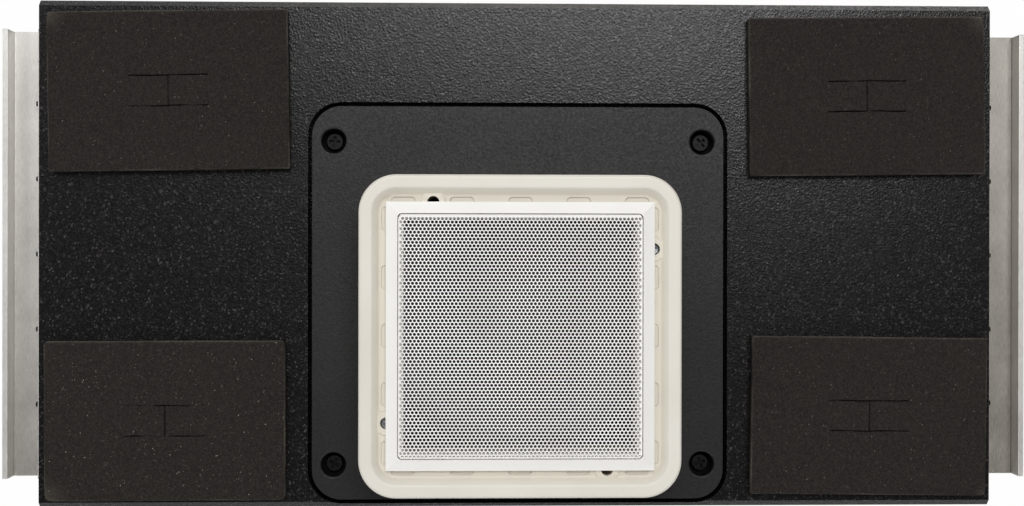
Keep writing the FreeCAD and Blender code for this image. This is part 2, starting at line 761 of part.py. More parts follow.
# boot, its middle on the throat, its base at height zero
boot = body("boot")
boot_tall = d.boot_rise - d.boot_seal
floor = boot_tall - d.floor_deep
under = floor - d.floor_thick
boot_outline = sketch(boot, "BootOutline")
rounded(boot_outline, d.boot_size, d.boot_size, d.boot_round)
pad(boot, boot_outline, boot_tall)
round_over(boot, d.rim_round, boot_tall)
rim = sketch(boot, "BootRim", offset=boot_tall)
rim_open = d.boot_size - d.rim_band * 2
rounded(rim, rim_open, rim_open, d.boot_round - d.rim_band)
basin = sketch(boot, "BootBasin", offset=floor)
basin_open = rim_open - d.rim_slope * 2
rounded(basin, basin_open, basin_open, d.boot_round - d.rim_band - d.rim_slope)
dish = feature(boot, "SubtractiveLoft", "BootDish", rim)
dish.Sections = [basin]
dish.Ruled = True
doc.recompute()
basin.Visibility = False
round_over(boot, d.dish_round, boot_tall, within=rim_open / 2)
round_over(boot, d.dish_round, floor)
throat = sketch(boot, "BootThroat", offset=floor)
rounded(throat, d.throat_open, d.throat_open, d.throat_round)
pocket(boot, throat, floor)
hollow = sketch(boot, "BootHollow", offset=under)
hollow_outer = d.boot_size - d.boot_skin * 2
hollow_inner = d.throat_open + d.throat_skin * 2
rounded(hollow, hollow_outer, hollow_outer, d.boot_round - d.boot_skin)
rounded(hollow, hollow_inner, hollow_inner, d.throat_round + d.throat_skin)
pocket(boot, hollow, under)
pins = [
    (d.pin_far, d.pin_near),
    (-d.pin_near, d.pin_far),
    (-d.pin_far, -d.pin_near),
    (d.pin_near, -d.pin_far),
]
bosses = sketch(boot, "BootBosses")
for x, y in pins:
    circle(bosses, d.boss_radius, x, y)
pad(boot, bosses, floor)
rings = sketch(boot, "BootBossRings", offset=floor)
for x, y in pins:
    circle(rings, d.boss_radius, x, y)
pad(boot, rings, d.boss_proud, EDGE_DRAFT)
wells = sketch(boot, "BootWells", offset=boot_tall)
for x, y in (pins[0], pins[2]):
    circle(wells, d.pin_radius, x, y)
pocket(boot, wells, d.floor_deep + d.boot_seat)
drops = sketch(boot, "BootScrewHoles", offset=floor)
for x, y in (pins[0], pins[2]):
    circle(drops, d.boot_shank + d.screw_slack, x, y)
pocket(boot, drops, floor)
spare = sketch(boot, "BootSpareHoles", offset=boot_tall)
for x, y in (pins[1], pins[3]):
    circle(spare, d.pin_radius, x, y)
pocket(boot, spare, boot_tall)
dents = sketch(boot, "BootPockets", offset=floor)
for step in (-2, -1, 0, 1, 2):
    rounded(
        dents,
        d.pocket_long,
        d.pocket_wide,
        d.pocket_round,
        d.pocket_pitch * step,
        d.pocket_edge - d.pocket_wide / 2,
    )
around(boot, pocket(boot, dents, d.pocket_deep, EDGE_DRAFT), 4)
place(boot, y=-boot_drop, z=boot_base)

boot_seal = body("boot_gasket")
ring = sketch(boot_seal, "BootSealOutline")
seal_outer = d.boot_size - d.seal_inset
rounded(ring, seal_outer, seal_outer, d.boot_round - d.seal_inset / 2)
rounded(ring, d.throat_open, d.throat_open, d.throat_round)
for side in (-1, 1):
    circle(ring, d.boot_shank + d.screw_slack, d.pin_far * side, d.pin_near * side)
pad(boot_seal, ring, d.boot_seal)
place(boot_seal, y=-boot_drop, z=face)

boot_screw_seat = boot_floor - d.boot_seat
boot_screw = screw(
    "BootScrew", d.boot_head, d.boot_head_tall, d.boot_shank, boot_screw_seat - face + d.boot_bite * 0.9
)
group("boot_screws", boot_screw, [
    (d.pin_far, d.pin_near - boot_drop, boot_screw_seat, UP, 20),
    (-d.pin_far, -d.pin_near - boot_drop, boot_screw_seat, UP, 65),
])

# grille frame standing on the boss rings, its spigot in the throat, and the sheet on a ring on its ledge
frame = body("grille_frame")
frame_top = d.frame_edge + d.frame_slope
ring_seat = frame_top - d.sheet_drop - d.sheet_thick - d.ring_tall
frame_base = sketch(frame, "FrameBase")
rectangle(frame_base, d.frame_outer, d.frame_outer)
pad(frame, frame_base, d.frame_edge)
bevel_low = sketch(frame, "FrameBevelLow", offset=d.frame_edge)
rectangle(bevel_low, d.frame_outer, d.frame_outer)
bevel_high = sketch(frame, "FrameBevelHigh", offset=frame_top)
rectangle(bevel_high, d.frame_open, d.frame_open)
bevel = feature(frame, "AdditiveLoft", "FrameBevel", bevel_low)
bevel.Sections = [bevel_high]
bevel.Ruled = True
doc.recompute()
bevel_high.Visibility = False
spigot = sketch(frame, "FrameSpigot", offset=-d.spigot_deep)
spigot_size = d.throat_open - d.spigot_slack * 2
rounded(spigot, spigot_size, spigot_size, d.throat_round)
pad(frame, spigot, d.spigot_deep)
frame_window = sketch(frame, "FrameWindow", offset=frame_top)
rounded(frame_window, d.frame_open, d.frame_open, d.frame_round)
pocket(frame, frame_window, frame_top - ring_seat)
frame_through = sketch(frame, "FrameThrough", offset=frame_top)
rounded(frame_through, d.ledge_open, d.ledge_open, d.frame_round)
pocket(frame, frame_through, frame_top + d.spigot_deep)
frame_foot = boot_floor + d.boss_proud
place(frame, y=-boot_drop, z=frame_foot)

mesh = body("grille_sheet")
mesh_size = d.frame_open - d.sheet_slack * 2
mesh_outline = sketch(mesh, "SheetOutline")
rounded(mesh_outline, mesh_size, mesh_size, d.frame_round)
pad(mesh, mesh_outline, d.sheet_thick)
vents = sketch(mesh, "SheetVents", offset=d.sheet_thick)
for row in range(7):
    columns = 7 if row % 2 == 0 else 6
    for column in range(columns):
        circle(
            vents,
            d.vent_radius,
            d.vent_pitch * (column - (columns - 1) / 2),
            d.vent_pitch * (row - 3),
        )
pocket(mesh, vents, d.sheet_thick)
place(mesh, y=-boot_drop, z=frame_foot + ring_seat + d.ring_tall)

ring_outer = mesh_size
ring_inner = mesh_size - d.ring_wide * 2
mesh_ring = body("sheet_ring")
mesh_ring_outline = sketch(mesh_ring, "SheetRingOutline")
rounded(mesh_ring_outline, ring_outer, ring_outer, d.frame_round)
rounded(mesh_ring_outline, ring_inner, ring_inner, d.frame_round - d.ring_wide)
pad(mesh_ring, mesh_ring_outline, d.ring_tall)
place(mesh_ring, y=-boot_drop, z=frame_foot + ring_seat)

# driver, each piece drawn from the front of the flange downward
shelf_out = d.shelf_outer + d.shelf_skin
basket = body("basket")
revolve(basket, [
    (lip_outer, 0),
    (d.flange_radius, 0),
    (d.flange_radius, -d.flange_thick),
    (lip_inner + d.flange_thick * 1.2, -d.flange_thick),
    (shelf_out, d.flange_thick * 0.8 - d.shelf_deep),
    (shelf_out, -d.shelf_deep - d.shelf_thick),
    (d.shelf_inner + d.basket_floor, -d.shelf_deep - d.shelf_thick),
    (d.ring_outer, -d.basket_deep),
    (d.ring_inner, -d.basket_deep),
    (d.ring_inner, d.basket_floor - d.basket_deep),
    (d.ring_outer - d.basket_floor * 0.6, d.basket_floor - d.basket_deep),
    (d.shelf_inner, -d.shelf_deep - d.shelf_thick * 0.5),
    (d.shelf_inner, -d.shelf_deep),
    (d.shelf_outer, -d.shelf_deep),
    (lip_inner, -d.flange_thick * 1.5),
    (lip_inner, -d.lip_deep),
    (lip_outer, -d.lip_deep),
])
basket_window = sketch(basket, "BasketWindow", offset=-d.flange_thick * 1.6)
outline(basket_window, [
    polar(d.window_inner, -d.window_half),
    polar(d.window_outer, -d.window_half),
    polar(d.window_outer, d.window_half),
    polar(d.window_inner, d.window_half),
])
around(basket, pocket(basket, basket_window, d.shelf_deep), 6)
flange_hole = sketch(basket, "BasketScrewHole")
circle(flange_hole, d.driver_shank + d.screw_slack, *polar(bolt_circle, 22.5))
around(basket, pocket(basket, flange_hole, d.flange_thick), 8)

driver_gasket = body("driver_gasket")
gasket_outline = sketch(driver_gasket, "DriverGasketOutline")
circle(gasket_outline, d.flange_radius)
circle(gasket_outline, lip_outer)
pad(driver_gasket, gasket_outline, d.driver_seal)
gasket_hole = sketch(driver_gasket, "DriverGasketHole", offset=d.driver_seal)
circle(gasket_hole, d.driver_shank + d.screw_slack, *polar(bolt_circle, 22.5))
around(driver_gasket, pocket(driver_gasket, gasket_hole, d.driver_seal), 8)

# the roll springs from the seat to the cone edge
surround = body("surround")
roll_in = cone_outer - 0.5
roll_out = lip_inner + 1
roll = (roll_out - roll_in) / 2 * 1.04
seat = -d.lip_deep
revolve(
    surround,
    [
        (cone_glue, seat),
        (roll_in, seat),
        (roll_out, seat),
        (lip_outer - d.glue_gap, seat),
        (lip_outer - d.glue_gap, seat + d.lip_skin),
        (roll_out + d.lip_skin, seat + d.lip_skin),
        (roll_in - d.lip_skin, seat + d.lip_skin),
        (cone_glue, seat + d.lip_skin),
    ],
    {1: -roll, 5: (roll_out - roll_in + d.lip_skin * 2) / 2 * 1.04},
)

cone = body("cone")
former_out = d.coil_inner + d.former_skin
neck = former_out + d.glue_gap
revolve(cone, [
    (neck, -d.neck_deep),
    (neck + d.cone_skin * 1.4, -d.neck_deep),
    (cone_glue + d.cone_skin, seat - d.cone_skin),
    (cone_outer, seat - d.cone_skin),
    (cone_outer, seat),
    (cone_glue, seat),
    (neck, d.cone_skin * 1.2 - d.neck_deep),
])

# the dome meets the straight side of the cone at its own edge radius
slope = (d.neck_deep - d.cone_skin * 1.2 + seat) / (cone_glue - neck)
cap_foot = d.cone_skin * 1.2 - d.neck_deep + slope * (d.cap_radius - neck)
dome = (d.cap_radius * d.cap_radius + d.cap_rise * d.cap_rise) / (d.cap_rise * 2)
cap = body("dust_cap")
revolve(
    cap,
    [
        (d.cap_radius, cap_foot),
        (d.cap_radius, cap_foot + d.cone_skin),
        (0, cap_foot + d.cap_rise + d.cone_skin),
        (0, cap_foot + d.cap_rise),
    ],
    {1: dome, 3: -dome},
)

gap_middle = -d.basket_deep - d.pole_plate / 2
former = body("coil_former")
former_low = gap_middle - d.coil_tall / 2
revolve(former, [
    (d.coil_inner, former_low),
    (former_out, former_low),
    (former_out, d.cone_skin - d.neck_deep),
    (d.coil_inner, d.cone_skin - d.neck_deep),
])
winding = body("coil_winding")
revolve(winding, [
    (former_out + d.glue_gap, former_low),
    (former_out + d.coil_skin, former_low),
    (former_out + d.coil_skin, former_low + d.coil_tall),
    (former_out + d.glue_gap, former_low + d.coil_tall),
])

# spider cloth, corrugated between the former and its shelf
spider = body("spider")
run = (d.shelf_inner - neck) / 8
low_line = [(neck, -d.shelf_deep)]
high_line = [(neck, d.spider_skin - d.shelf_deep)]
for step in range(1, 8):
    lift = d.spider_wave if step % 2 else 0
    low_line.append((neck + run * step, lift - d.shelf_deep))
    high_line.append((neck + run * step, lift + d.spider_skin - d.shelf_deep))
low_line += [(d.shelf_inner, -d.shelf_deep), (d.shelf_outer - d.glue_gap * 3, -d.shelf_deep)]
high_line += [
    (d.shelf_inner, d.spider_skin - d.shelf_deep),
    (d.shelf_outer - d.glue_gap * 3, d.spider_skin - d.shelf_deep),
]
revolve(spider, low_line + high_line[::-1])

magnet_front = -d.basket_deep - d.pole_plate
magnet_back = magnet_front - d.magnet_thick
front_plate = body("top_plate")
revolve(front_plate, [
    (former_out + d.coil_skin + d.coil_gap, magnet_front),
    (d.pole_plate_radius, magnet_front),
    (d.pole_plate_radius, -d.basket_deep),
    (former_out + d.coil_skin + d.coil_gap, -d.basket_deep),
])
magnet = body("magnet")
revolve(magnet, [
    (d.magnet_bore, magnet_back),
    (d.magnet_radius, magnet_back),
    (d.magnet_radius, magnet_front),
    (d.magnet_bore, magnet_front),
])
yoke = body("yoke")
pole = d.coil_inner - d.coil_gap
revolve(yoke, [
    (d.pole_vent, magnet_back - d.pole_plate),
    (d.pole_plate_radius, magnet_back - d.pole_plate),
    (d.pole_plate_radius, magnet_back),
    (pole, magnet_back),
    (pole, -d.basket_deep),
    (d.pole_vent, -d.basket_deep),
])

strip = body("tag_strip")
strip_low = -d.shelf_deep - d.shelf_thick / 2 - d.strip_tall / 2
strip_outline = sketch(strip, "StripOutline", offset=strip_low)
strip_face = shelf_out + d.strip_deep
outline(strip_outline, [
    (-d.strip_long / 2, shelf_out - d.shelf_skin),
    (d.strip_long / 2, shelf_out - d.shelf_skin),
    (d.strip_long / 2, strip_face),
    (-d.strip_long / 2, strip_face),
])
pad(strip, strip_outline, d.strip_tall)
strip_hollow = sketch(strip, "StripHollow", offset=strip_low + d.strip_tall)
circle(strip_hollow, shelf_out + d.glue_gap)
pocket(strip, strip_hollow, d.strip_tall)

driver_pieces = [basket, driver_gasket, surround, cone, cap, former, winding, spider]
driver_pieces += [front_plate, magnet, yoke, strip]
for piece in driver_pieces:
    place(piece, y=-plate_drop, z=flange_front)

blade = doc.addObject("PartDesign::Body", "SolderTag")
blade_outline = sketch(blade, "TagOutline", offset=-d.blade_thick / 2)
rectangle(blade_outline, d.blade_wide, d.blade_long, y=d.blade_long / 2)
pad(blade, blade_outline, d.blade_thick)
tag_y = strip_face - plate_drop
tag_z = flange_front - d.shelf_deep - d.shelf_thick / 2
group("solder_tags", blade, [(d.post_apart / 2 * side, tag_y, tag_z, UP, 0) for side in (-1, 1)])

driver_screw_long = d.flange_thick + d.driver_seal + d.driver_bite
driver_screw = screw(
    "DriverScrew", d.driver_head, d.driver_head_tall, d.driver_shank, driver_screw_long, cross=False
)
driver_spots = []
for step in range(8):
    x, y = polar(bolt_circle, 22.5 + 45 * step)
    driver_spots.append((x, y - plate_drop, flange_front - d.flange_thick, ALONG, 180))
group("driver_screws", driver_screw, driver_spots)

# rails, one section turned round for the other end
rail_screw_z = face - d.rail_drop - d.rail_channel / 2
rail_screw_y = [-d.rail_screw_far, -d.rail_screw_near, 0, d.rail_screw_near, d.rail_screw_far]
rail_screw_low = -d.rail_channel / 2
for label, side, turned in (("rail_right", 1, 0), ("rail_left", -1, 180)):
    rail = body(label)
    rail_section = sketch(rail, label + "Section", "XZ_Plane", -d.rail_length / 2)
    web_low = -d.rail_channel - d.rail_thick
    lip_in = d.rail_reach - d.rail_lip
    outline(rail_section, [
        (0, web_low),
        (d.rail_reach, web_low),
        (d.rail_reach, 0),
        (lip_in, 0),
        (lip_in, -d.rail_channel),
        (d.rail_thick, -d.rail_channel),
        (d.rail_thick, 0),
        (0, 0),
    ])
    pad(rail, rail_section, d.rail_length)
    rail_holes = sketch(rail, label + "Holes", "YZ_Plane", d.rail_thick)
    for y in rail_screw_y:
        circle(rail_holes, d.rail_shank + d.screw_slack, y, rail_screw_low)
    pocket(rail, rail_holes, d.rail_thick)
    place(rail, x=d.box_length / 2 * side, z=face - d.rail_drop, axis=UP, angle=turned)

rail_screw = screw("RailScrew", d.rail_head, d.rail_head_tall, d.rail_shank, d.rail_screw_long)
rail_spots = []
for side in (-1, 1):
    for y in rail_screw_y:
        x = (d.box_length / 2 + d.rail_thick) * side
        rail_spots.append((x, y, rail_screw_z, ACROSS, 90 * side))
group("rail_screws", rail_screw, rail_spots)

# pilot holes for the rail screws, in the end grain of the baffle
pilot_deep = d.rail_screw_long - d.rail_thick
for name, side in (("RailPilotsRight", 1), ("RailPilotsLeft", -1)):
    start = d.box_length / 2 if side > 0 else pilot_deep - d.box_length / 2
    rail_pilots = sketch(baffle, name, "YZ_Plane", start)
    for y in rail_screw_y:
        circle(rail_pilots, d.rail_shank + d.thread_slack, y, rail_screw_z - baffle_back)
    pocket(baffle, rail_pilots, pilot_deep)

# terminal cup on the upper side, drawn facing up and turned to face outward
cup = body("terminal_cup")
tub = sketch(cup, "CupTub", offset=-d.cup_deep - d.cup_skin)
rounded(tub, d.cup_open_long + d.cup_skin * 2, d.cup_open_tall + d.cup_skin * 2, d.cup_round)
pad(cup, tub, d.cup_deep + d.cup_skin)
cup_flange = sketch(cup, "CupFlange")
rounded(cup_flange, d.cup_long, d.cup_tall, d.cup_round)
pad(cup, cup_flange, d.cup_lip)
cup_space = sketch(cup, "CupSpace", offset=d.cup_lip)
rounded(cup_space, d.cup_open_long, d.cup_open_tall, d.cup_round - d.cup_skin)
pocket(cup, cup_space, d.cup_lip + d.cup_deep)
cup_screw_holes = sketch(cup, "CupScrewHoles", offset=d.cup_lip)
for side in (-1, 1):
    for end in (-1, 1):
        circle(cup_screw_holes, d.cup_shank + d.screw_slack, d.cup_screw_x * side, d.cup_screw_y * end)
pocket(cup, cup_screw_holes, d.cup_lip)
post_holes = sketch(cup, "CupPostHoles")
for side in (-1, 1):
    circle(post_holes, d.post_radius + d.screw_slack, d.post_apart / 2 * side)
pocket(cup, post_holes, d.cup_deep + d.cup_skin)
panel_out = d.box_width / 2
place(cup, y=panel_out, z=d.cup_height, axis=ALONG, angle=-90)

cup_screw = screw("CupScrew", d.cup_head, d.cup_head_tall, d.cup_shank, d.cup_screw_long)
cup_spots = []
for side in (-1, 1):
    for end in (-1, 1):
        x = d.cup_screw_x * side
        z = d.cup_height + d.cup_screw_y * end
        cup_spots.append((x, panel_out + d.cup_lip, z, ALONG, -90))
group("cup_screws", cup_screw, cup_spots)

# posts stand on the cup floor; height zero is the floor
cup_floor = panel_out - d.cup_deep
post = doc.addObject("PartDesign::Body", "BindingPost")
revolve(post, [
    (0, -d.post_tail),
    (d.post_radius, -d.post_tail),
    (d.post_radius, 0),
    (d.post_collar, 0),
    (d.post_collar, d.post_collar_tall),
    (d.post_radius, d.post_collar_tall),
    (d.post_radius, d.post_collar_tall + d.post_tip),
    (0, d.post_collar_tall + d.post_tip),
])
post_spots = [(d.post_apart / 2 * side, cup_floor, d.cup_height, ALONG, -90) for side in (-1, 1)]
group("binding_posts", post, post_spots)

nut = doc.addObject("PartDesign::Body", "PostNut")
nut_outline = sketch(nut, "NutOutline", offset=-d.nut_tall)
outline(nut_outline, [polar(d.nut_radius, 60 * step) for step in range(6)])
circle(nut_outline, d.post_radius + d.thread_slack)
pad(nut, nut_outline, d.nut_tall)
nut_spots = [
    (d.post_apart / 2 * side, cup_floor - d.cup_skin, d.cup_height, ALONG, -90) for side in (-1, 1)
]
group("post_nuts", nut, nut_spots)

for label, side in (("post_cap_black", -1), ("post_cap_red", 1)):
    grip = body(label)
    grip_low = d.post_collar_tall + d.grip_slack
    bore_top = d.post_collar_tall + d.post_tip + d.grip_slack
    grip_top = grip_low + d.grip_tall
    bore = d.post_radius + d.grip_slack
    revolve(grip, [
        (bore, grip_low),
        (d.grip_radius, grip_low),
        (d.grip_radius, grip_top - d.flute_radius),
        (d.grip_radius - d.flute_radius, grip_top),
        (bore, grip_top),
    ])
    flute = sketch(grip, label + "Flute", offset=grip_top)
    circle(flute, d.flute_radius, d.grip_radius + d.flute_radius * 0.4)
    around(grip, pocket(grip, flute, d.grip_tall * 0.8), 8)
    place(grip, d.post_apart / 2 * side, cup_floor, d.cup_height, ALONG, -90)

# inside leads from the post tails to the solder tags: straight ends joined by two equal arcs
lead_y = cup_floor - d.post_tail
tip_y = tag_y + d.blade_long
for label, side in (("lead_black", -1), ("lead_red", 1)):
    lead = body(label)
    rise = tag_z - d.cup_height
    across = lead_y - tip_y - d.wire_straight * 2
    bend = (across * across + rise * rise) / (rise * 4)
    spine = sketch(lead, label + "Spine", "YZ_Plane")
    outline(
        spine,
        [
            (lead_y, d.cup_height),
            (lead_y - d.wire_straight, d.cup_height),
            (lead_y - d.wire_straight - across / 2, d.cup_height + rise / 2),
            (tip_y + d.wire_straight, tag_z),
            (tip_y, tag_z),
        ],
        {1: -bend, 2: bend},
        closed=False,
    )
    round_section = sketch(lead, label + "Round", "XZ_Plane", -lead_y)
    circle(round_section, d.wire_radius, 0, d.cup_height)
    wire = feature(lead, "AdditivePipe", label + "Sweep", round_section)
    wire.Spine = spine
    spine.Visibility = False
    place(lead, x=d.post_apart / 2 * side)

doc.recompute()
for item in doc.Objects:
    if "Invalid" in item.State or "Error" in item.State:
        raise RuntimeError("%s did not compute: %s" % (item.Label, item.State))
os.makedirs("parts", exist_ok=True)
for item in parts:
    if item.Shape.isNull() or not item.Shape.isValid() or not item.Shape.Solids:
        raise RuntimeError("%s has no valid solid" % item.Label)
    item.Shape.exportStep("parts/%s.step" % item.Label)
    print(item.Label, len(item.Shape.Solids), round(item.Shape.Volume))
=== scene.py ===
"""Looks of the in-ceiling subwoofer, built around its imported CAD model. Lengths are in metres."""

import json
import math

import bpy
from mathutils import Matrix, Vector


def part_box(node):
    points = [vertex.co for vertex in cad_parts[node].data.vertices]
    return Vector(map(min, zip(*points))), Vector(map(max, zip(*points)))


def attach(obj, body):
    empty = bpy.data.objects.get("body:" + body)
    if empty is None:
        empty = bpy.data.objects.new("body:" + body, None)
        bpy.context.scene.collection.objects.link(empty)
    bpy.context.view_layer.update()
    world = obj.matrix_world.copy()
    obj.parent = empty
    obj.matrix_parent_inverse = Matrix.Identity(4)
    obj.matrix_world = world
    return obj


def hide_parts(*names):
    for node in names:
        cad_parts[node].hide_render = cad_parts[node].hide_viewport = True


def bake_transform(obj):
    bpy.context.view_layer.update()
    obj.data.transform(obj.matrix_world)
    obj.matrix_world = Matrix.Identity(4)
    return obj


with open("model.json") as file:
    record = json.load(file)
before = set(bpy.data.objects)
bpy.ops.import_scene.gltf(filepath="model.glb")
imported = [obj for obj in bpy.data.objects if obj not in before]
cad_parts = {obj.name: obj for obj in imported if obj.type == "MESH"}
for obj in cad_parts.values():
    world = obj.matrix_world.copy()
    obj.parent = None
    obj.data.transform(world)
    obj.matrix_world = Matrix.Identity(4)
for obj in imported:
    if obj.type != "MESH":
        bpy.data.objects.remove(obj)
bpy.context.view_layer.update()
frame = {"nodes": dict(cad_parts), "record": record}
NODES = frame["nodes"]
MM = 0.001

# Places in the frame that the looks follow
RAIL_THICK = 3.2 * MM
CHANNEL_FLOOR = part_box("rail_left")[0].z + RAIL_THICK
TOP_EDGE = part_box("front_baffle")[1].y
BOX_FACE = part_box("front_baffle")[1].z
BOOT_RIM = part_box("boot")[1].z


def add_object(name, data):
    made = bpy.data.objects.new(name, data)
    bpy.context.scene.collection.objects.link(made)
    return made


# Camera, fitted to the corners of the box, pads, plate, boot and rails
CAMERA_PLACE = (-0.0280, 0.0032, 1.0516)
CAMERA_TURN_DEG = (-0.1357, -1.5457, 0.0932)
CAMERA_LENS_MM = 49.1
SENSOR_MM = 36.0
CLIP_NEAR = 0.01
CLIP_FAR = 50


def add_camera():
    lens = bpy.data.cameras.new("camera")
    lens.sensor_fit = "HORIZONTAL"
    lens.sensor_width = SENSOR_MM
    lens.lens = CAMERA_LENS_MM
    lens.clip_start = CLIP_NEAR
    lens.clip_end = CLIP_FAR
    camera = add_object("camera", lens)
    camera.location = CAMERA_PLACE
    camera.rotation_euler = [math.radians(angle) for angle in CAMERA_TURN_DEG]
    bpy.context.scene.camera = camera


def srgb(red, green, blue):
    """A colour written as screen values from 0 to 255, as linear numbers."""
    linear = []
    for value in (red, green, blue):
        share = value / 255
        linear.append(share / 12.92 if share <= 0.04045 else ((share + 0.055) / 1.055) ** 2.4)
    return (*linear, 1.0)


# Colour sockets of a mix node, by number because their names repeat
MIX_FIRST = 6
MIX_SECOND = 7
MIX_RESULT = 2


class Paint:
    """A material and the nodes that feed its shader.

    Patterns lie in the frame, so a scale is per metre.
    """

    def __init__(self, name, metallic=0.0, specular=0.5):
        self.material = bpy.data.materials.new(name)
        self.material.use_nodes = True
        self.tree = self.material.node_tree
        self.shader = self.tree.nodes["Principled BSDF"]
        self.shader.inputs["Metallic"].default_value = metallic
        self.shader.inputs["Specular IOR Level"].default_value = specular
        self.place = self.node("ShaderNodeTexCoord").outputs["Object"]

    def node(self, kind, inputs=None, **settings):
        made = self.tree.nodes.new(kind)
        for key, value in settings.items():
            setattr(made, key, value)
        for key, value in (inputs or {}).items():
            self.put(made.inputs[key], value)
        return made

    def put(self, socket, value):
        if isinstance(value, bpy.types.NodeSocket):
            self.tree.links.new(value, socket)
        else:
            socket.default_value = value

    def along(self, axis):
        return self.node("ShaderNodeSeparateXYZ", {"Vector": self.place}).outputs[axis]

    def stretched(self, stretch):
        mapping = self.node("ShaderNodeMapping", {"Vector": self.place, "Scale": stretch})
        return mapping.outputs["Vector"]

    def noise(self, scale, detail=2.0, rough=0.5, stretch=None, warp=0.0):
        inputs = {
            "Vector": self.stretched(stretch) if stretch else self.place,
            "Scale": scale,
            "Detail": detail,
            "Roughness": rough,
            "Distortion": warp,
        }
        return self.node("ShaderNodeTexNoise", inputs).outputs["Fac"]

    def cells(self, scale, colour=False):
        made = self.node("ShaderNodeTexVoronoi", {"Vector": self.place, "Scale": scale})
        return made.outputs["Color" if colour else "Distance"]

    def maths(self, action, first, second):
        return self.node("ShaderNodeMath", {0: first, 1: second}, operation=action).outputs[0]

    def joined(self, first, second, share):
        """Two patterns added, the first by its share and the second by the rest."""
        return self.maths(
            "ADD",
            self.maths("MULTIPLY", first, share),
            self.maths("MULTIPLY", second, 1 - share),
        )

    def span(self, value, low, high, to_low, to_high):
        inputs = {
            "Value": value,
            "From Min": low,
            "From Max": high,
            "To Min": to_low,
            "To Max": to_high,
        }
        return self.node("ShaderNodeMapRange", inputs, clamp=True).outputs["Result"]

    def ramp(self, value, stops):
        made = self.node("ShaderNodeValToRGB", {"Fac": value})
        points = made.color_ramp.elements
        while len(points) < len(stops):
            points.new(0.5)
        for point, (position, colour) in zip(points, stops):
            point.position = position
            point.color = colour
        return made.outputs["Color"]

    def mixed(self, share, first, second):
        inputs = {"Factor": share, MIX_FIRST: first, MIX_SECOND: second}
        return self.node("ShaderNodeMix", inputs, data_type="RGBA").outputs[MIX_RESULT]

    def attribute(self, name):
        return self.node("ShaderNodeAttribute", attribute_name=name).outputs["Fac"]

    def colour(self, value):
        self.put(self.shader.inputs["Base Color"], value)

    def rough(self, value):
        self.put(self.shader.inputs["Roughness"], value)

    def relief(self, height, depth):
        """Bump from a height of 0 to 1 that stands for depth in metres."""
        bump = self.node("ShaderNodeBump", {"Height": height, "Distance": depth, "Strength": 1.0})
        self.put(self.shader.inputs["Normal"], bump.outputs["Normal"])


# Where the painted highlight along the upper edge of the paint sets in and where it is full: in from
# the edge, below the face and along x
HIGHLIGHT_IN = (3.9 * MM, 3.3 * MM)
HIGHLIGHT_BELOW = (10 * MM, 8 * MM)
HIGHLIGHT_ALONG = (-240 * MM, 0.0)
HIGHLIGHT_MOST = 0.85


def textured_black():
    """Sprayed spatter paint on board, with a painted highlight along the upper edge of the box, stronger
    toward the right.
    """
    paint = Paint("textured_black", specular=0.33)
    lumps = paint.noise(820, 2, 0.5)
    spatter = paint.cells(740)
    height = paint.maths("ADD", lumps, paint.maths("MULTIPLY", spatter, 0.5))
    grains = paint.cells(1000, colour=True)
    stops = [
        (0.0, srgb(2, 2, 2)),
        (0.55, srgb(8, 7, 7)),
        (0.8, srgb(38, 36, 36)),
        (1.0, srgb(82, 79, 79)),
    ]
    # painted highlight: the upper edge of the box is lightened as if catching the top lamps, more toward
    # the right
    at_edge = paint.span(paint.along("Y"), TOP_EDGE - HIGHLIGHT_IN[0], TOP_EDGE - HIGHLIGHT_IN[1], 0, 1)
    on_front = paint.span(paint.along("Z"), BOX_FACE - HIGHLIGHT_BELOW[0], BOX_FACE - HIGHLIGHT_BELOW[1], 0, 1)
    toward_right = paint.span(paint.along("X"), *HIGHLIGHT_ALONG, 0, HIGHLIGHT_MOST)
    highlight_mask = paint.maths("MULTIPLY", paint.maths("MULTIPLY", at_edge, on_front), toward_right)
    painted_highlight = paint.ramp(grains, [(0.1, srgb(44, 43, 42)), (0.9, srgb(118, 115, 112))])
    paint.colour(paint.mixed(highlight_mask, paint.ramp(grains, stops), painted_highlight))
    paint.rough(paint.span(grains, 0.2, 0.9, 0.33, 0.14))
    paint.relief(height, 0.15 * MM)
    return paint.material


def raw_board():
    """Fibre board, sawn and unpainted."""
    paint = Paint("raw_board", specular=0.25)
    fibre = paint.noise(900, 6, 0.7)
    paint.colour(paint.ramp(fibre, [(0.3, srgb(139, 108, 76)), (0.7, srgb(172, 140, 103))]))
    paint.rough(paint.span(fibre, 0.3, 0.7, 0.75, 0.95))
    paint.relief(fibre, 0.15 * MM)
    return paint.material


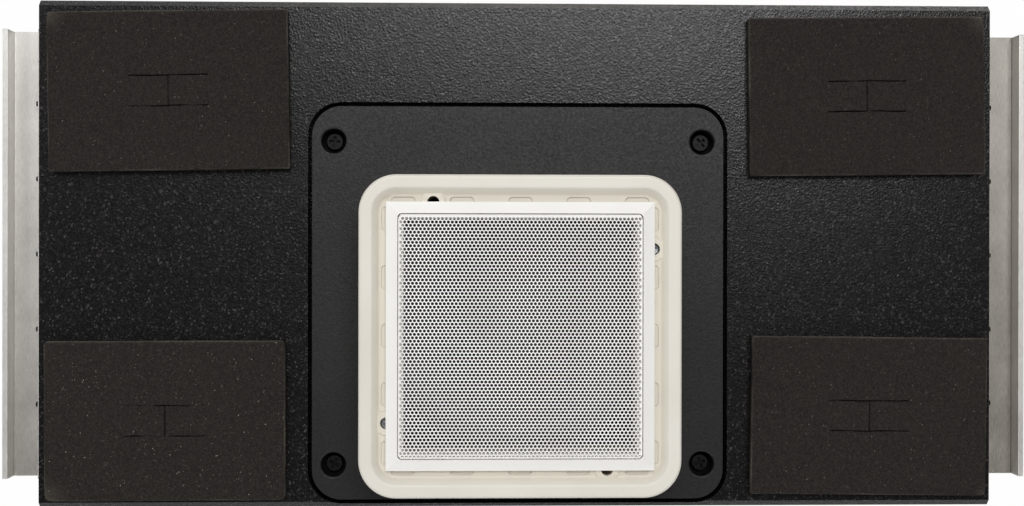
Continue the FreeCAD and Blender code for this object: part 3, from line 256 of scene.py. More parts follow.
def foam():
    """Fine closed-cell foam with pale specks; the painted_highlight attribute lightens the edges and the
    pressed corner as a painted highlight.
    """
    paint = Paint("foam", specular=0.2)
    cells = paint.noise(1300, 2, 0.6)
    grains = paint.cells(1150, colour=True)
    blotch = paint.noise(26, 3, 0.55)
    body = paint.mixed(blotch, srgb(27, 24, 22), srgb(34, 31, 28))
    body = paint.mixed(paint.span(grains, 0.2, 0.95, 0, 1), body, srgb(46, 42, 39))
    lint = paint.attribute("lint")
    dust = paint.span(paint.cells(620), 0.1, 0.26, 1, 0)
    dusty = paint.maths("MULTIPLY", paint.span(paint.noise(420, 2), 0.5, 0.66, 0, 0.6), lint)
    body = paint.mixed(paint.maths("MULTIPLY", dust, dusty), body, srgb(122, 117, 106))
    specks = paint.span(paint.cells(380), 0.08, 0.16, 1, 0)
    chosen = paint.maths("MULTIPLY", paint.span(paint.noise(210, 1), 0.54, 0.66, 0, 0.9), lint)
    body = paint.mixed(paint.maths("MULTIPLY", specks, chosen), body, srgb(150, 145, 133))
    # painted highlight on the edges and the pressed corner, read from a point attribute
    painted_highlight = paint.maths("MULTIPLY", paint.attribute("painted_highlight"), paint.span(cells, 0.35, 0.65, 0.15, 0.8))
    paint.colour(paint.mixed(painted_highlight, body, srgb(118, 111, 100)))
    paint.rough(paint.span(cells, 0.3, 0.7, 0.8, 1.0))
    paint.relief(cells, 0.2 * MM)
    return paint.material


def plate_black():
    """Moulded satin plastic with a fine grain."""
    paint = Paint("plate_black", specular=0.37)
    grain = paint.noise(640, 3, 0.7)
    cloud = paint.noise(16, 3, 0.5)
    grains = paint.cells(1100, colour=True)
    tone = paint.joined(grains, cloud, 0.6)
    paint.colour(paint.ramp(tone, [(0.25, srgb(6, 5, 5)), (0.75, srgb(36, 35, 35))]))
    paint.rough(paint.span(grains, 0.1, 0.9, 0.52, 0.36))
    paint.relief(grain, 0.2 * MM)
    return paint.material


# Depths below the boot's rim between which its cream turns to the darker, yellower one of the dish,
# a painted shade with warm bounce light in the recess
RIM_ENDS = 1 * MM
DISH_STARTS = 4 * MM


def cream_moulding():
    """Glossier moulded plastic, slightly yellowed, with painted shade in the dish below the rim."""
    paint = Paint("cream_moulding")
    cloud = paint.noise(22, 4, 0.5)
    grain = paint.noise(1700, 2, 0.5)
    rim = paint.ramp(cloud, [(0.3, srgb(225, 220, 209)), (0.7, srgb(230, 226, 216))])
    # painted shade: the dish below the rim is darker and yellower than the rim
    dish_shade = paint.span(paint.along("Z"), BOOT_RIM - DISH_STARTS, BOOT_RIM - RIM_ENDS, 1, 0)
    paint.colour(paint.mixed(dish_shade, rim, srgb(222, 216, 202)))
    paint.rough(paint.span(cloud, 0.3, 0.7, 0.36, 0.48))
    paint.relief(grain, 0.03 * MM)
    return paint.material


def coated_white(name, dark, light):
    """Powder-coated white with a faint orange peel."""
    paint = Paint(name)
    peel = paint.noise(900, 2, 0.5)
    cloud = paint.noise(30, 3, 0.5)
    paint.colour(paint.ramp(cloud, [(0.3, dark), (0.7, light)]))
    paint.rough(paint.span(peel, 0.3, 0.7, 0.4, 0.52))
    paint.relief(peel, 0.03 * MM)
    return paint.material


# Drawn aluminium: patterns drawn out along y, the height over which painted shade leaves the channel
# floor, and how far from the middle of a rail it is lightest and darkest
DRAWN_LINES = (9.0, 1.0, 9.0)
DRAWN_CLOUD = (1.6, 1.0, 1.6)
LINE_DEPTH = 0.008 * MM
SHADE_RISE = 2.5 * MM
SHADE_REACH = 130 * MM


def rail_metal(name, shade_at_top, shade_at_foot):
    """Drawn aluminium with painted shade on the channel floor, by shares given for its two ends."""
    paint = Paint(name, metallic=1.0)
    lines = paint.noise(230, 3, 0.7, stretch=DRAWN_LINES)
    cloud = paint.noise(34, 5, 0.65, stretch=DRAWN_CLOUD)
    both = paint.joined(lines, cloud, 0.6)
    bright = paint.ramp(both, [(0.34, srgb(208, 205, 200)), (0.66, srgb(237, 235, 231))])
    shaded = paint.ramp(both, [(0.34, srgb(146, 141, 134)), (0.66, srgb(184, 179, 171))])
    # painted shade: the channel floor is darker, by a share that grows from the upper end to the lower end
    low = paint.span(paint.along("Z"), CHANNEL_FLOOR, CHANNEL_FLOOR + SHADE_RISE, 1, 0)
    toward_foot = paint.span(paint.along("Y"), SHADE_REACH, -SHADE_REACH, shade_at_top, shade_at_foot)
    paint.colour(paint.mixed(paint.maths("MULTIPLY", low, toward_foot), bright, shaded))
    paint.rough(paint.span(both, 0.3, 0.7, 0.44, 0.56))
    paint.relief(lines, LINE_DEPTH)
    return paint.material


def bare_aluminium():
    """Drawn aluminium without painted shade."""
    paint = Paint("bare_aluminium", metallic=1.0)
    lines = paint.noise(190, 3, 0.7, stretch=DRAWN_LINES)
    cloud = paint.noise(24, 4, 0.6)
    both = paint.joined(lines, cloud, 0.75)
    paint.colour(paint.ramp(both, [(0.34, srgb(204, 198, 190)), (0.66, srgb(231, 226, 219))]))
    paint.rough(paint.span(both, 0.3, 0.7, 0.5, 0.64))
    paint.relief(lines, LINE_DEPTH)
    return paint.material


def cast_metal(name, dark, light, roughness, metallic=1.0, scale=300):
    """Plated, cast or blackened metal with mottled tone."""
    paint = Paint(name, metallic=metallic)
    mottle = paint.noise(scale, 4, 0.6)
    paint.colour(paint.ramp(mottle, [(0.32, dark), (0.68, light)]))
    paint.rough(paint.span(mottle, 0.3, 0.7, roughness - 0.08, roughness + 0.1))
    paint.relief(paint.noise(scale * 4, 2, 0.5), 0.05 * MM)
    return paint.material


def moulded(name, dark, light, roughness, scale=700, depth=0.04 * MM, specular=0.5):
    """Plastic, rubber, pulp or a dull coating with a fine grain."""
    paint = Paint(name, specular=specular)
    grain = paint.noise(scale, 3, 0.55)
    paint.colour(paint.ramp(grain, [(0.3, dark), (0.7, light)]))
    paint.rough(paint.span(grain, 0.3, 0.7, roughness - 0.07, roughness + 0.08))
    paint.relief(grain, depth)
    return paint.material


def woven(name, dark, light, thread):
    """Cloth: two crossing threads, thread apart."""
    paint = Paint(name, specular=0.25)
    waves = []
    for direction in ("X", "Y"):
        inputs = {"Vector": paint.place, "Scale": 1 / thread, "Distortion": 0.6}
        made = paint.node("ShaderNodeTexWave", inputs, bands_direction=direction)
        waves.append(made.outputs["Fac"])
    weave = paint.maths("MULTIPLY", waves[0], waves[1])
    paint.colour(paint.ramp(weave, [(0.1, dark), (0.8, light)]))
    paint.rough(paint.span(weave, 0, 1, 0.95, 0.75))
    paint.relief(weave, 0.15 * MM)
    return paint.material


def wool_felt():
    """Matted fibres."""
    paint = Paint("wool", specular=0.15)
    fibres = paint.noise(420, 8, 0.75, warp=1.5)
    paint.colour(paint.ramp(fibres, [(0.3, srgb(196, 192, 180)), (0.7, srgb(236, 233, 224))]))
    paint.rough(paint.span(fibres, 0.3, 0.7, 0.9, 1.0))
    paint.relief(fibres, 0.8 * MM)
    return paint.material


def wound_copper():
    """Enamelled wire, turn upon turn."""
    paint = Paint("copper_wire", metallic=1.0)
    inputs = {"Vector": paint.place, "Scale": 1100.0}
    turns = paint.node("ShaderNodeTexWave", inputs, bands_direction="Z").outputs["Fac"]
    paint.colour(paint.ramp(turns, [(0.2, srgb(120, 62, 34)), (0.8, srgb(196, 116, 70))]))
    paint.rough(paint.span(turns, 0, 1, 0.5, 0.3))
    paint.relief(turns, 0.2 * MM)
    return paint.material


# One material for each slot of the record, and those of the pieces that differ from their slot
MATERIALS = {
    "textured_black": textured_black(),
    "raw_board": raw_board(),
    "wool": wool_felt(),
    "foam": foam(),
    "plate_black": plate_black(),
    "seal": moulded("seal", srgb(22, 22, 23), srgb(34, 34, 35), 0.85, 1400, 0.15 * MM, 0.25),
    "black_screw": moulded("black_screw", srgb(7, 7, 7), srgb(19, 18, 18), 0.42, 500, specular=0.2),
    "zinc": cast_metal("zinc", srgb(150, 152, 156), srgb(198, 200, 203), 0.32),
    "cream_moulding": cream_moulding(),
    "grille_white": coated_white("grille_white", srgb(243, 241, 237), srgb(247, 245, 242)),
    "basket_black": cast_metal("basket_black", srgb(20, 20, 21), srgb(36, 36, 38), 0.45, 0.0, 700),
    "surround_rubber": moulded("surround_rubber", srgb(18, 18, 19), srgb(27, 27, 28), 0.55, 400),
    "cone_pulp": moulded("cone_pulp", srgb(20, 20, 21), srgb(38, 38, 38), 0.75, 500, 0.25 * MM, 0.3),
    "copper_wire": wound_copper(),
    "spider_cloth": woven("spider_cloth", srgb(128, 92, 40), srgb(196, 156, 88), 0.9 * MM),
    "ferrite": cast_metal("ferrite", srgb(44, 43, 42), srgb(66, 64, 62), 0.6, 0.2, 200),
    "bare_aluminium": bare_aluminium(),
    "brass": cast_metal("brass", srgb(176, 138, 66), srgb(222, 186, 104), 0.26),
    "cap_red": moulded("cap_red", srgb(150, 16, 18), srgb(182, 26, 26), 0.34),
    "cap_black": moulded("cap_black", srgb(18, 18, 19), srgb(28, 28, 29), 0.34),
    "wire_red": moulded("wire_red", srgb(150, 18, 20), srgb(178, 28, 28), 0.42),
    "wire_black": moulded("wire_black", srgb(18, 18, 18), srgb(30, 30, 30), 0.42),
}
SHEET_WHITE = coated_white("sheet_white", srgb(245, 243, 240), srgb(249, 247, 244))
OWN_LOOKS = {
    # painted shade: the driver board, seen only deep in the gap round the plate, is near black
    "driver_board": moulded("shadow_black_board", srgb(5, 5, 5), srgb(12, 11, 11), 0.8, 700, 0.1 * MM, 0.15),
    # the rails carry painted shade on their channel floors, the right rail more than the left
    "rail_left": rail_metal("rail_left_metal", 0.0, 0.56),
    "rail_right": rail_metal("rail_right_metal", 0.85, 1.0),
}
SLOT_OF = {part["node"]: part["material_slot"] for part in frame["record"]["subparts"]}


def dress_nodes():
    for name, node in NODES.items():
        node.data.materials.clear()
        node.data.materials.append(OWN_LOOKS.get(name, MATERIALS[SLOT_OF[name]]))


# Sharp edges that are rounded a little
RAIL_EDGE = 0.5 * MM
GASKET_EDGE = 0.3 * MM
EDGE_SEGMENTS = 2
SHARP_DEG = 40
WELD_GAP = 0.001 * MM


def round_edges(piece, edge):
    """Round the sharp edges of a piece, so that they catch the light."""
    weld = piece.modifiers.new("weld", "WELD")
    weld.merge_threshold = WELD_GAP
    bevel = piece.modifiers.new("bevel", "BEVEL")
    bevel.width = edge
    bevel.segments = EDGE_SEGMENTS
    bevel.limit_method = "ANGLE"
    bevel.angle_limit = math.radians(SHARP_DEG)


def add_piece(name, vertices, faces, slot, node, body=None, smooth=False):
    mesh = bpy.data.meshes.new(name)
    mesh.from_pydata(vertices, [], faces)
    mesh.materials.append(MATERIALS[slot])
    mesh.polygons.foreach_set("use_smooth", [smooth] * len(mesh.polygons))
    mesh.update()
    piece = add_object(name, mesh)
    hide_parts(node)
    if body:
        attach(piece, body)
    return piece


# Perforated sheet: staggered rows of holes, one six-sided cell around each. Rows shift by a share of
# the pitch to the right and to the left in turn, and corners are matched to a tenth of a micron
HOLE_PITCH = 2.394 * MM
HOLE_ROW_STEP = 2.055 * MM
HOLE_RADIUS = 0.98 * MM
HOLE_SIDES = 8
HOLE_ROWS = 71
HOLE_COLUMNS = 61
HOLES_LOWER = 0.8 * MM
ROW_SHIFT = 0.25
CELL_SIDES = 6
CELL_TURN_DEG = 30
CELLS_AT_CORNER = 3
MATCH_PER_METRE = 1e7
RIM_SLACK = 0.2 * MM
SHEET_CORNER = 2.7 * MM
CELL_ANGLES = [math.radians(CELL_TURN_DEG + 360 / CELL_SIDES * k) for k in range(CELL_SIDES)]
HOLE_ANGLES = [math.radians(CELL_TURN_DEG) + math.tau * k / HOLE_SIDES for k in range(HOLE_SIDES)]


def ring_triangles(outer, inner):
    """Triangles between two rings of angles, as (ring, index) corners in turning order."""
    triangles = []
    i = j = 0
    while i < len(outer) or j < len(inner):
        step_outer = outer[(i + 1) % len(outer)] + math.tau * ((i + 1) // len(outer))
        step_inner = inner[(j + 1) % len(inner)] + math.tau * ((j + 1) // len(inner))
        on_outer = ("outer", i % len(outer))
        on_inner = ("inner", j % len(inner))
        if j >= len(inner) or (i < len(outer) and step_outer <= step_inner):
            i += 1
            triangles.append((on_outer, ("outer", i % len(outer)), on_inner))
        else:
            j += 1
            triangles.append((on_outer, ("inner", j % len(inner)), on_inner))
    return triangles


def hole_cells():
    """Cells as (x, y, corners by number), the places of the corners, and how many cells meet at each."""
    corner_x = HOLE_PITCH / math.sqrt(3)
    corner_y = HOLE_ROW_STEP * 2 / 3
    numbers = {}
    places = []
    meeting = []
    cells = []
    for row in range(HOLE_ROWS):
        y = (row - (HOLE_ROWS - 1) / 2) * HOLE_ROW_STEP - HOLES_LOWER
        shift = -ROW_SHIFT if row % 2 else ROW_SHIFT
        for column in range(HOLE_COLUMNS):
            x = (column - (HOLE_COLUMNS - 1) / 2 + shift) * HOLE_PITCH
            ring = []
            for angle in CELL_ANGLES:
                place = [x + corner_x * math.cos(angle), y + corner_y * math.sin(angle)]
                key = (round(place[0] * MATCH_PER_METRE), round(place[1] * MATCH_PER_METRE))
                if key not in numbers:
                    numbers[key] = len(places)
                    places.append(place)
                    meeting.append(0)
                ring.append(numbers[key])
                meeting[numbers[key]] += 1
            cells.append((x, y, ring))
    return cells, places, meeting


def spread_rim(places, meeting, half):
    """Move the corners on the outside of the pattern out to the edge of the sheet."""
    last_x = (HOLE_COLUMNS - 1) / 2 * HOLE_PITCH
    last_y = (HOLE_ROWS - 1) / 2 * HOLE_ROW_STEP
    cut = SHEET_CORNER * (1 - math.sqrt(0.5))
    for place, cells in zip(places, meeting):
        if cells == CELLS_AT_CORNER:
            continue
        x, y = place
        over_y = abs(y + HOLES_LOWER) > last_y + RIM_SLACK
        over_x = abs(x) > (last_x + HOLE_PITCH / 2 if over_y else last_x - RIM_SLACK)
        if over_x:
            place[0] = math.copysign(half, x)
        if over_y:
            place[1] = math.copysign(half, y)
        if over_x and over_y:
            place[0] -= math.copysign(cut, x)
            place[1] -= math.copysign(cut, y)


def perforated_sheet():
    low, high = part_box("grille_sheet")
    middle = (low + high) / 2
    cells, places, meeting = hole_cells()
    spread_rim(places, meeting, (high.x - low.x) / 2)
    count = len(places)
    vertices = []
    for z in (high.z, low.z):
        vertices += [(middle.x + x, middle.y + y, z) for x, y in places]
    faces = []
    edges = []
    pattern = ring_triangles(CELL_ANGLES, HOLE_ANGLES)
    for x, y, ring in cells:
        top = len(vertices)
        bottom = top + HOLE_SIDES
        for z in (high.z, low.z):
            for angle in HOLE_ANGLES:
                across = HOLE_RADIUS * math.cos(angle)
                along = HOLE_RADIUS * math.sin(angle)
                vertices.append((middle.x + x + across, middle.y + y + along, z))
        for triangle in pattern:
            upper = [ring[k] if kind == "outer" else top + k for kind, k in triangle]
            lower = [ring[k] + count if kind == "outer" else bottom + k for kind, k in triangle]
            faces.append(tuple(upper))
            faces.append(tuple(reversed(lower)))
        for k in range(HOLE_SIDES):
            after = (k + 1) % HOLE_SIDES
            faces.append((top + k, top + after, bottom + after, bottom + k))
        edges += [(ring[k], ring[(k + 1) % CELL_SIDES]) for k in range(CELL_SIDES)]

    # an edge that only one cell has is on the outside, and gets a wall
    known = set(edges)
    for first, second in edges:
        if (second, first) not in known:
            faces.append((second, first, first + count, second + count))
    piece = add_piece("perforated_sheet", vertices, faces, "grille_white", "grille_sheet", "cabinet")
    piece.data.materials[0] = SHEET_WHITE


def soft_slab(name, xs, ys, height, base, slot, node, turn=0.0, bend=None):
    """A closed slab over a grid of lines, its top given by height(x, y) above base."""
    low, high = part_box(node)
    middle = (low + high) / 2
    turn = math.radians(turn)
    cos, sin = math.cos(turn), math.sin(turn)

    def placed(x, y, z):
        if bend:
            x, y = bend(x, y)
        return (middle.x + x * cos - y * sin, middle.y + x * sin + y * cos, z)

    columns = len(xs)
    rows = len(ys)
    vertices = [placed(x, y, base + height(x, y)) for y in ys for x in xs]
    faces = []
    for r in range(rows - 1):
        for c in range(columns - 1):
            here = r * columns + c
            faces.append((here, here + 1, here + columns + 1, here + columns))
    rim = [(c, 0) for c in range(columns - 1)]
    rim += [(columns - 1, r) for r in range(rows - 1)]
    rim += [(c, rows - 1) for c in range(columns - 1, 0, -1)]
    rim += [(0, r) for r in range(rows - 1, 0, -1)]
    foot = len(vertices)
    for c, r in rim:
        vertices.append(placed(xs[c], ys[r], base))
    for k, (c, r) in enumerate(rim):
        after = (k + 1) % len(rim)
        next_c, next_r = rim[after]
        faces.append((foot + k, foot + after, next_r * columns + next_c, r * columns + c))
    faces.append(tuple(reversed(range(foot, foot + len(rim)))))
    piece = add_piece(name, vertices, faces, slot, node, "cabinet", smooth=True)
    return piece


# Close grid lines along the edges of a soft slab, and the least gap between two lines
EDGE_LINES = [offset * MM for offset in (0.25, 0.6, 1.1, 1.8)]
LINE_GAP = 0.12 * MM


def grid_lines(low, high, step, extra=()):
    """Grid lines from low to high about step apart, with extra ones and close ones along both edges."""
    count = max(2, round((high - low) / step))
    made = [low + (high - low) * k / count for k in range(count + 1)]
    made += [low + offset for offset in EDGE_LINES]
    made += [high - offset for offset in EDGE_LINES]
    made += extra
    made.sort()
    kept = [made[0]]
    for value in made[1:]:
        if value - kept[-1] > LINE_GAP:
            kept.append(value)
    kept[-1] = high
    return kept


def wave(value, seed):
    """A smooth wobble between -1 and 1 along a line, in metres."""
    return (
        0.5 * math.sin(value * 61 + seed)
        + 0.3 * math.sin(value * 148 + seed * 2.3)
        + 0.2 * math.sin(value * 371 + seed * 4.1)
    )


# Foam pads: sizes, and the grid lines across a cut and at its ends
PAD_LONG = 150 * MM
PAD_WIDE = 100 * MM
HALF_LONG = PAD_LONG / 2
HALF_WIDE = PAD_WIDE / 2
PAD_STEP = 2.2 * MM
SLIT_HALF = 24.5 * MM
SLIT_APART = 19.1 * MM
CUT_LINES = [offset * MM for offset in (-1.3, -0.7, -0.4, -0.19, 0.19, 0.4, 0.7, 1.3)]
CUT_END_LINES = [offset * MM for offset in (-0.6, 0, 0.6)]

# A cut from its middle outward: the gap, the lip that dips by a share of the depth, and the end of the dip
CUT_HALF = 0.2 * MM
LIP_HALF = 0.42 * MM
LIP_DIP = 0.05
DIP_HALF = 1.3 * MM
DIP_PER_MM = 0.03
UNDER_CUT = 1.5 * MM

# How far the top lies below that of the solid, falls at the edges, sags at the pressed corner and
# swells, how far outline and cuts wander, and how far the painted highlight reaches in
PAD_LOWER = 0.15 * MM
EDGE_FALL = 0.6 * MM
EDGE_FALL_REACH = 0.4 * MM
CORNER_SAG = 2.0 * MM
PAD_SWELL = 0.12 * MM
OUTLINE_WANDER = 0.12 * MM
CUT_WANDER = 0.3 * MM
CUT_WANDER_REACH = 3 * MM
HIGHLIGHT_REACH = 0.5 * MM
UPPER_HIGHLIGHT_REACH = 0.6 * MM
SIDE_HIGHLIGHT = 0.1

# Pressed is the corner that sags and reach how far in it does. Cuts says how far the upper, middle and
# lower cuts of the H stand open, lift raises the flaps left and right of the middle cut, and lint is
# the share of specks
PADS = {
    "foam_pad_upper_left": {
        "turn": 0.95,
        "pressed": (-1, 1),
        "reach": 15 * MM,
        "corner": 1.2 * MM,
        "cuts": (0.75, 0.7, 0.5),
        "lift": (0.0, 0.1 * MM),
        "lint": 0.55,
        "seed": 3,
    },
    "foam_pad_upper_right": {
        "turn": 0.7,
        "pressed": (1, 1),
        "reach": 15 * MM,
        "corner": 1.2 * MM,
        "cuts": (0.6, 0.85, 0.65),
        "lift": (-0.1 * MM, 0.1 * MM),
        "lint": 0.45,
        "seed": 11,
    },
    "foam_pad_lower_left": {
        "turn": 0.2,
        "pressed": (-1, -1),
        "reach": 18 * MM,
        "corner": 3.2 * MM,
        "cuts": (0.42, 0.75, 0.4),
        "lift": (0.0, -0.15 * MM),
        "lint": 1.0,
        "seed": 19,
    },
    "foam_pad_lower_right": {
        "turn": -0.65,
        "pressed": (1, -1),
        "reach": 8 * MM,
        "corner": 1.2 * MM,
        "cuts": (0.75, 1.05, 0.7),
        "lift": (0.7 * MM, -0.2 * MM),
        "lint": 0.55,
        "seed": 27,
    },
}


def groove(distance):
    """Share of the depth of a cut at a distance from its middle, with turned-in lips."""
    gap = abs(distance)
    if gap <= CUT_HALF:
        return 1.0
    if gap <= LIP_HALF:
        return LIP_DIP
    return max(0.0, DIP_PER_MM * (DIP_HALF - gap) / MM)


class FoamPad:
    """The shape of a pad, at places measured from its middle."""

    def __init__(self, thick, pressed, reach, corner, cuts, lift, seed):
        self.thick = thick
        self.pressed = pressed
        self.reach = reach
        self.corner = corner
        self.cuts = cuts
        self.lift = lift
        self.seed = seed

    def from_edge(self, x, y):
        return min(HALF_LONG - abs(x), HALF_WIDE - abs(y))

    def near_corner(self, x, y):
        """Share from 0 to 1 toward the pressed corner."""
        away = math.hypot(HALF_LONG - x * self.pressed[0], HALF_WIDE - y * self.pressed[1])
        return max(0.0, 1 - away / self.reach)

    def parted(self, along, share, shift):
        """How far a cut stands open at a place along it: some stretches close up."""
        return min(1.0, max(0.0, share + 0.4 * wave(along * 3, self.seed + shift))) ** 2

    def slit(self, x, y):
        """Share of the depth that the three cuts take away."""
        upper, middle, lower = self.cuts
        depth = 0.0
        for side, share in ((1, upper), (-1, lower)):
            if abs(x) <= SLIT_HALF:
                depth = max(depth, groove(y - side * SLIT_APART / 2) * self.parted(x, share, side))
        if abs(y) <= SLIT_APART / 2:
            depth = max(depth, groove(x) * self.parted(y, middle, 2))
        return depth

    def raised(self, x, y):
        """Lift of the two flaps toward the middle cut."""
        if abs(x) > SLIT_HALF or abs(y) > SLIT_APART / 2:
            return 0.0
        return self.lift[0 if x < 0 else 1] * (1 - abs(x) / SLIT_HALF) ** 1.5

    def height(self, x, y):
        fall = EDGE_FALL * math.exp(-self.from_edge(x, y) / EDGE_FALL_REACH)
        sag = CORNER_SAG * self.near_corner(x, y) ** 1.6
        swell = PAD_SWELL * wave(x + y, self.seed) * wave(y, self.seed + 1)
        deep = (self.thick - UNDER_CUT) * self.slit(x, y)
        return self.thick - PAD_LOWER - fall - sag + swell + self.raised(x, y) - deep

    def bend(self, x, y):
        """The outline and the cuts wander a little, and the corners are not quite square."""
        along_x = OUTLINE_WANDER * wave(y, self.seed + 5) * abs(x / HALF_LONG) ** 6
        along_y = OUTLINE_WANDER * wave(x, self.seed + 7) * abs(y / HALF_WIDE) ** 6
        if abs(x) < SLIT_HALF * 1.3:
            near_cut = math.exp(-(((abs(y) - SLIT_APART / 2) / CUT_WANDER_REACH) ** 2))
            along_y += CUT_WANDER * near_cut * wave(x * 2, self.seed + math.copysign(3, y))
        round_x = max(0.0, abs(x) - HALF_LONG + self.corner) / self.corner
        round_y = max(0.0, abs(y) - HALF_WIDE + self.corner) / self.corner
        pull = self.corner * (1 - 1 / math.sqrt(2)) * (round_x * round_y) ** 2
        return (x + along_x - math.copysign(pull, x), y + along_y - math.copysign(pull, y))

    def painted_highlight(self, x, y):
        """Share of painted highlight: along the edges, most on the upper one that faces the light, and at
        the pressed corner.
        """
        near_edge = math.exp(-((self.from_edge(x, y) / HIGHLIGHT_REACH) ** 2))
        near_upper = math.exp(-(((HALF_WIDE - y) / UPPER_HIGHLIGHT_REACH) ** 2))
        rim = max(
            near_edge * max(0.1, 0.4 + 0.6 * wave(x - y, self.seed + 9)),
            near_upper * (0.7 + 0.3 * wave(x, self.seed + 6)),
        )
        return min(1.0, rim + 0.5 * self.near_corner(x, y) ** 1.5)


def add_foam_pad(node, turn, lint, **shape):
    low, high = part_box(node)
    pad = FoamPad(high.z - low.z, **shape)
    cut_x = CUT_LINES + [side * (SLIT_HALF + offset) for side in (-1, 1) for offset in CUT_END_LINES]
    cut_y = [side * SLIT_APART / 2 + offset for side in (-1, 1) for offset in CUT_LINES]
    xs = grid_lines(-HALF_LONG, HALF_LONG, PAD_STEP, cut_x)
    ys = grid_lines(-HALF_WIDE, HALF_WIDE, PAD_STEP, cut_y)
    piece = soft_slab(node + "_cut", xs, ys, pad.height, low.z, "foam", node, turn, pad.bend)
    count = len(piece.data.vertices)
    # painted highlight share at each point; the sides of the slab get a little
    painted_highlight = [pad.painted_highlight(x, y) for y in ys for x in xs]
    painted_highlight += [SIDE_HIGHLIGHT] * (count - len(painted_highlight))
    for name, values in (("painted_highlight", painted_highlight), ("lint", [lint] * count)):
        attribute = piece.data.attributes.new(name, "FLOAT", "POINT")
        attribute.data.foreach_set("value", values)


# Damping wool: how far its top lies below that of the solid, falls at the edges and is lumpy
WOOL_STEP = 5 * MM
WOOL_LOWER = 2.2 * MM
WOOL_FALL = 9 * MM
WOOL_FALL_REACH = 7 * MM
WOOL_LUMP = 1.4 * MM


def damping_wool():
    low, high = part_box("damping_wool")
    thick = high.z - low.z
    half_x = (high.x - low.x) / 2
    half_y = (high.y - low.y) / 2
    xs = grid_lines(-half_x, half_x, WOOL_STEP)
    ys = grid_lines(-half_y, half_y, WOOL_STEP)

    def height(x, y):
        edge = min(half_x - abs(x), half_y - abs(y))
        fall = WOOL_FALL * math.exp(-edge / WOOL_FALL_REACH)
        lumps = WOOL_LUMP * (wave(x, 2) * wave(y, 4) + wave(x * 2.1 + y, 8) * 0.5)
        return thick - WOOL_LOWER - fall + lumps

    soft_slab("wool_layer", xs, ys, height, low.z, "wool", "damping_wool")


# Driver surround and spider: turned sections that stretch between the basket and the cone
TURN_STEPS = 96
LIP_SKIN = 1.3 * MM
CONE_LAP = 7 * MM
ROLL_INSIDE = 0.5 * MM
ROLL_OUTSIDE = 8.6 * MM
ROLL_STEPS = 14
SPIDER_SKIN = 0.9 * MM
SPIDER_WAVE = 2.4 * MM
SPIDER_WAVES = 4
SPIDER_STEPS = 56
SPIDER_SHELF = 10.7 * MM
FORMER_GAP = 0.1 * MM


def turned(name, section, centre, slot, node):
    """A closed section of (radius, height) points turned about the driver axis.
    """
    vertices = []
    faces = []
    size = len(section)
    for step in range(TURN_STEPS):
        angle = math.tau * step / TURN_STEPS
        cos, sin = math.cos(angle), math.sin(angle)
        vertices += [(centre.x + radius * cos, centre.y + radius * sin, z) for radius, z in section]
        here = step * size
        there = (step + 1) % TURN_STEPS * size
        for k in range(size):
            after = (k + 1) % size
            faces.append((here + k, there + k, there + after, here + after))
    piece = add_piece(name, vertices, faces, slot, node, smooth=True)
    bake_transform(piece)


def surround_roll():
    low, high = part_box("surround")
    cone_low, cone_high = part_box("cone")
    outer = (high.x - low.x) / 2
    cone_edge = (cone_high.x - cone_low.x) / 2
    lap = cone_edge - CONE_LAP
    seat = low.z
    roll_in = cone_edge - ROLL_INSIDE
    roll_out = cone_edge + ROLL_OUTSIDE
    roll_middle = (roll_in + roll_out) / 2
    roll_half = (roll_out - roll_in) / 2
    rise = high.z - seat - LIP_SKIN
    arc = [math.pi * k / ROLL_STEPS for k in range(ROLL_STEPS + 1)]
    section = [(lap, seat)]
    for angle in arc:
        section.append((roll_middle - roll_half * math.cos(angle), seat + rise * math.sin(angle)))
    section += [(outer, seat), (outer, seat + LIP_SKIN)]
    for angle in arc:
        radius = roll_middle + (roll_half + LIP_SKIN) * math.cos(angle)
        section.append((radius, seat + LIP_SKIN + rise * math.sin(angle)))
    section.append((lap, seat + LIP_SKIN))
    centre = (low + high) / 2
    turned("surround_roll", section, centre, "surround_rubber", "surround")


def spider_disc():
    low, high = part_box("spider")
    former_low, former_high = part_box("coil_former")
    inner = (former_high.x - former_low.x) / 2 + FORMER_GAP
    outer = (high.x - low.x) / 2
    shelf = outer - SPIDER_SHELF
    line = []
    for k in range(SPIDER_STEPS + 1):
        share = k / SPIDER_STEPS
        radius = inner + (shelf - inner) * share
        line.append((radius, SPIDER_WAVE * (0.5 - 0.5 * math.cos(math.tau * SPIDER_WAVES * share))))
    line.append((outer, 0.0))
    section = [(radius, low.z + z) for radius, z in line]
    section += [(radius, low.z + z + SPIDER_SKIN) for radius, z in reversed(line)]
    centre = (low + high) / 2
    turned("spider_cloth_disc", section, centre, "spider_cloth", "spider")


def soft_gasket(node):
    """A gasket with its sharp edges rolled over, in place of the plain solid."""
    mesh = NODES[node].data.copy()
    mesh.name = node + "_soft"
    piece = add_object(node + "_soft", mesh)
    mesh.materials.clear()
    mesh.materials.append(MATERIALS["seal"])
    round_edges(piece, GASKET_EDGE)
    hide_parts(node)
    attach(piece, "cabinet")


# Stage. The glow is the share of plain white in what the camera sees of the floor
FLOOR_SIZE = 24.0
FLOOR_GREY = 0.86
FLOOR_ROUGH = 0.9
FLOOR_GLOW = 0.97


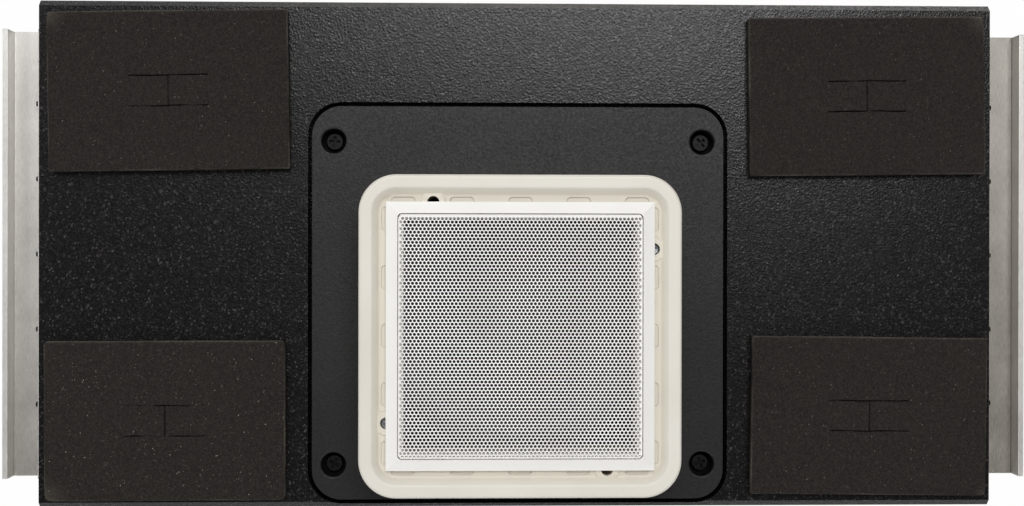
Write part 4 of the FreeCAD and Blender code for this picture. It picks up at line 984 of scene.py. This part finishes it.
def floor_white():
    """White to the camera, by itself or in a glossy or clear surface, and plain pale grey to the lamps."""
    paint = Paint("floor_white")
    paint.colour((FLOOR_GREY, FLOOR_GREY, FLOOR_GREY, 1))
    paint.rough(FLOOR_ROUGH)
    path = paint.node("ShaderNodeLightPath")
    seen = path.outputs["Is Camera Ray"]
    for kind in ("Is Glossy Ray", "Is Transmission Ray"):
        seen = paint.maths("MAXIMUM", seen, path.outputs[kind])
    share = paint.maths("MULTIPLY", seen, FLOOR_GLOW)
    glow = paint.node("ShaderNodeEmission").outputs["Emission"]
    both = paint.node("ShaderNodeMixShader", {"Fac": share, 1: paint.shader.outputs["BSDF"], 2: glow})
    paint.put(paint.tree.nodes["Material Output"].inputs["Surface"], both.outputs["Shader"])
    return paint.material


def add_stage():
    half = FLOOR_SIZE / 2
    corners = [(-half, -half, 0), (half, -half, 0), (half, half, 0), (-half, half, 0)]
    mesh = bpy.data.meshes.new("floor")
    mesh.from_pydata(corners, [], [(0, 1, 2, 3)])
    mesh.materials.append(floor_white())
    add_object("floor", mesh)


# Lamps, each with its name, place, size along x, size across and power in watts
AIM = Vector((0, 0, 0.165))
LAMPS = [
    ("key", (0.22, 0.92, 2.5), 1.4, 0.8, 26.8),
    ("fill_top", (-0.3, 1.6, 1.7), 1.6, 0.8, 10.0),
    ("fill_left", (-1.8, 0.5, 1.5), 1.2, 1.2, 9.6),
    ("fill_right", (2.0, 0.3, 1.4), 1.2, 1.2, 3.4),
    ("fill_low", (0.0, -1.7, 1.6), 2.0, 1.0, 16.0),
]
WORLD_LEVEL = 0.15


def add_light():
    for name, place, wide, deep, power in LAMPS:
        lamp = bpy.data.lights.new(name, "AREA")
        lamp.shape = "RECTANGLE"
        lamp.size = wide
        lamp.size_y = deep
        lamp.energy = power
        holder = add_object(name, lamp)
        holder.location = place
        holder.rotation_euler = (AIM - Vector(place)).to_track_quat("-Z", "Y").to_euler()
    world = bpy.data.worlds.new("studio")
    world.use_nodes = True
    backdrop = world.node_tree.nodes["Background"]
    backdrop.inputs["Color"].default_value = (1, 1, 1, 1)
    backdrop.inputs["Strength"].default_value = WORLD_LEVEL
    bpy.context.scene.world = world


bpy.context.scene.view_settings.view_transform = "Standard"
add_camera()
add_stage()
add_light()
dress_nodes()
for rail in ("rail_left", "rail_right"):
    round_edges(NODES[rail], RAIL_EDGE)
perforated_sheet()
for node, facts in PADS.items():
    add_foam_pad(node, **facts)
damping_wool()
surround_roll()
spider_disc()
for gasket in ("plate_gasket", "boot_gasket", "driver_gasket"):
    soft_gasket(gasket)
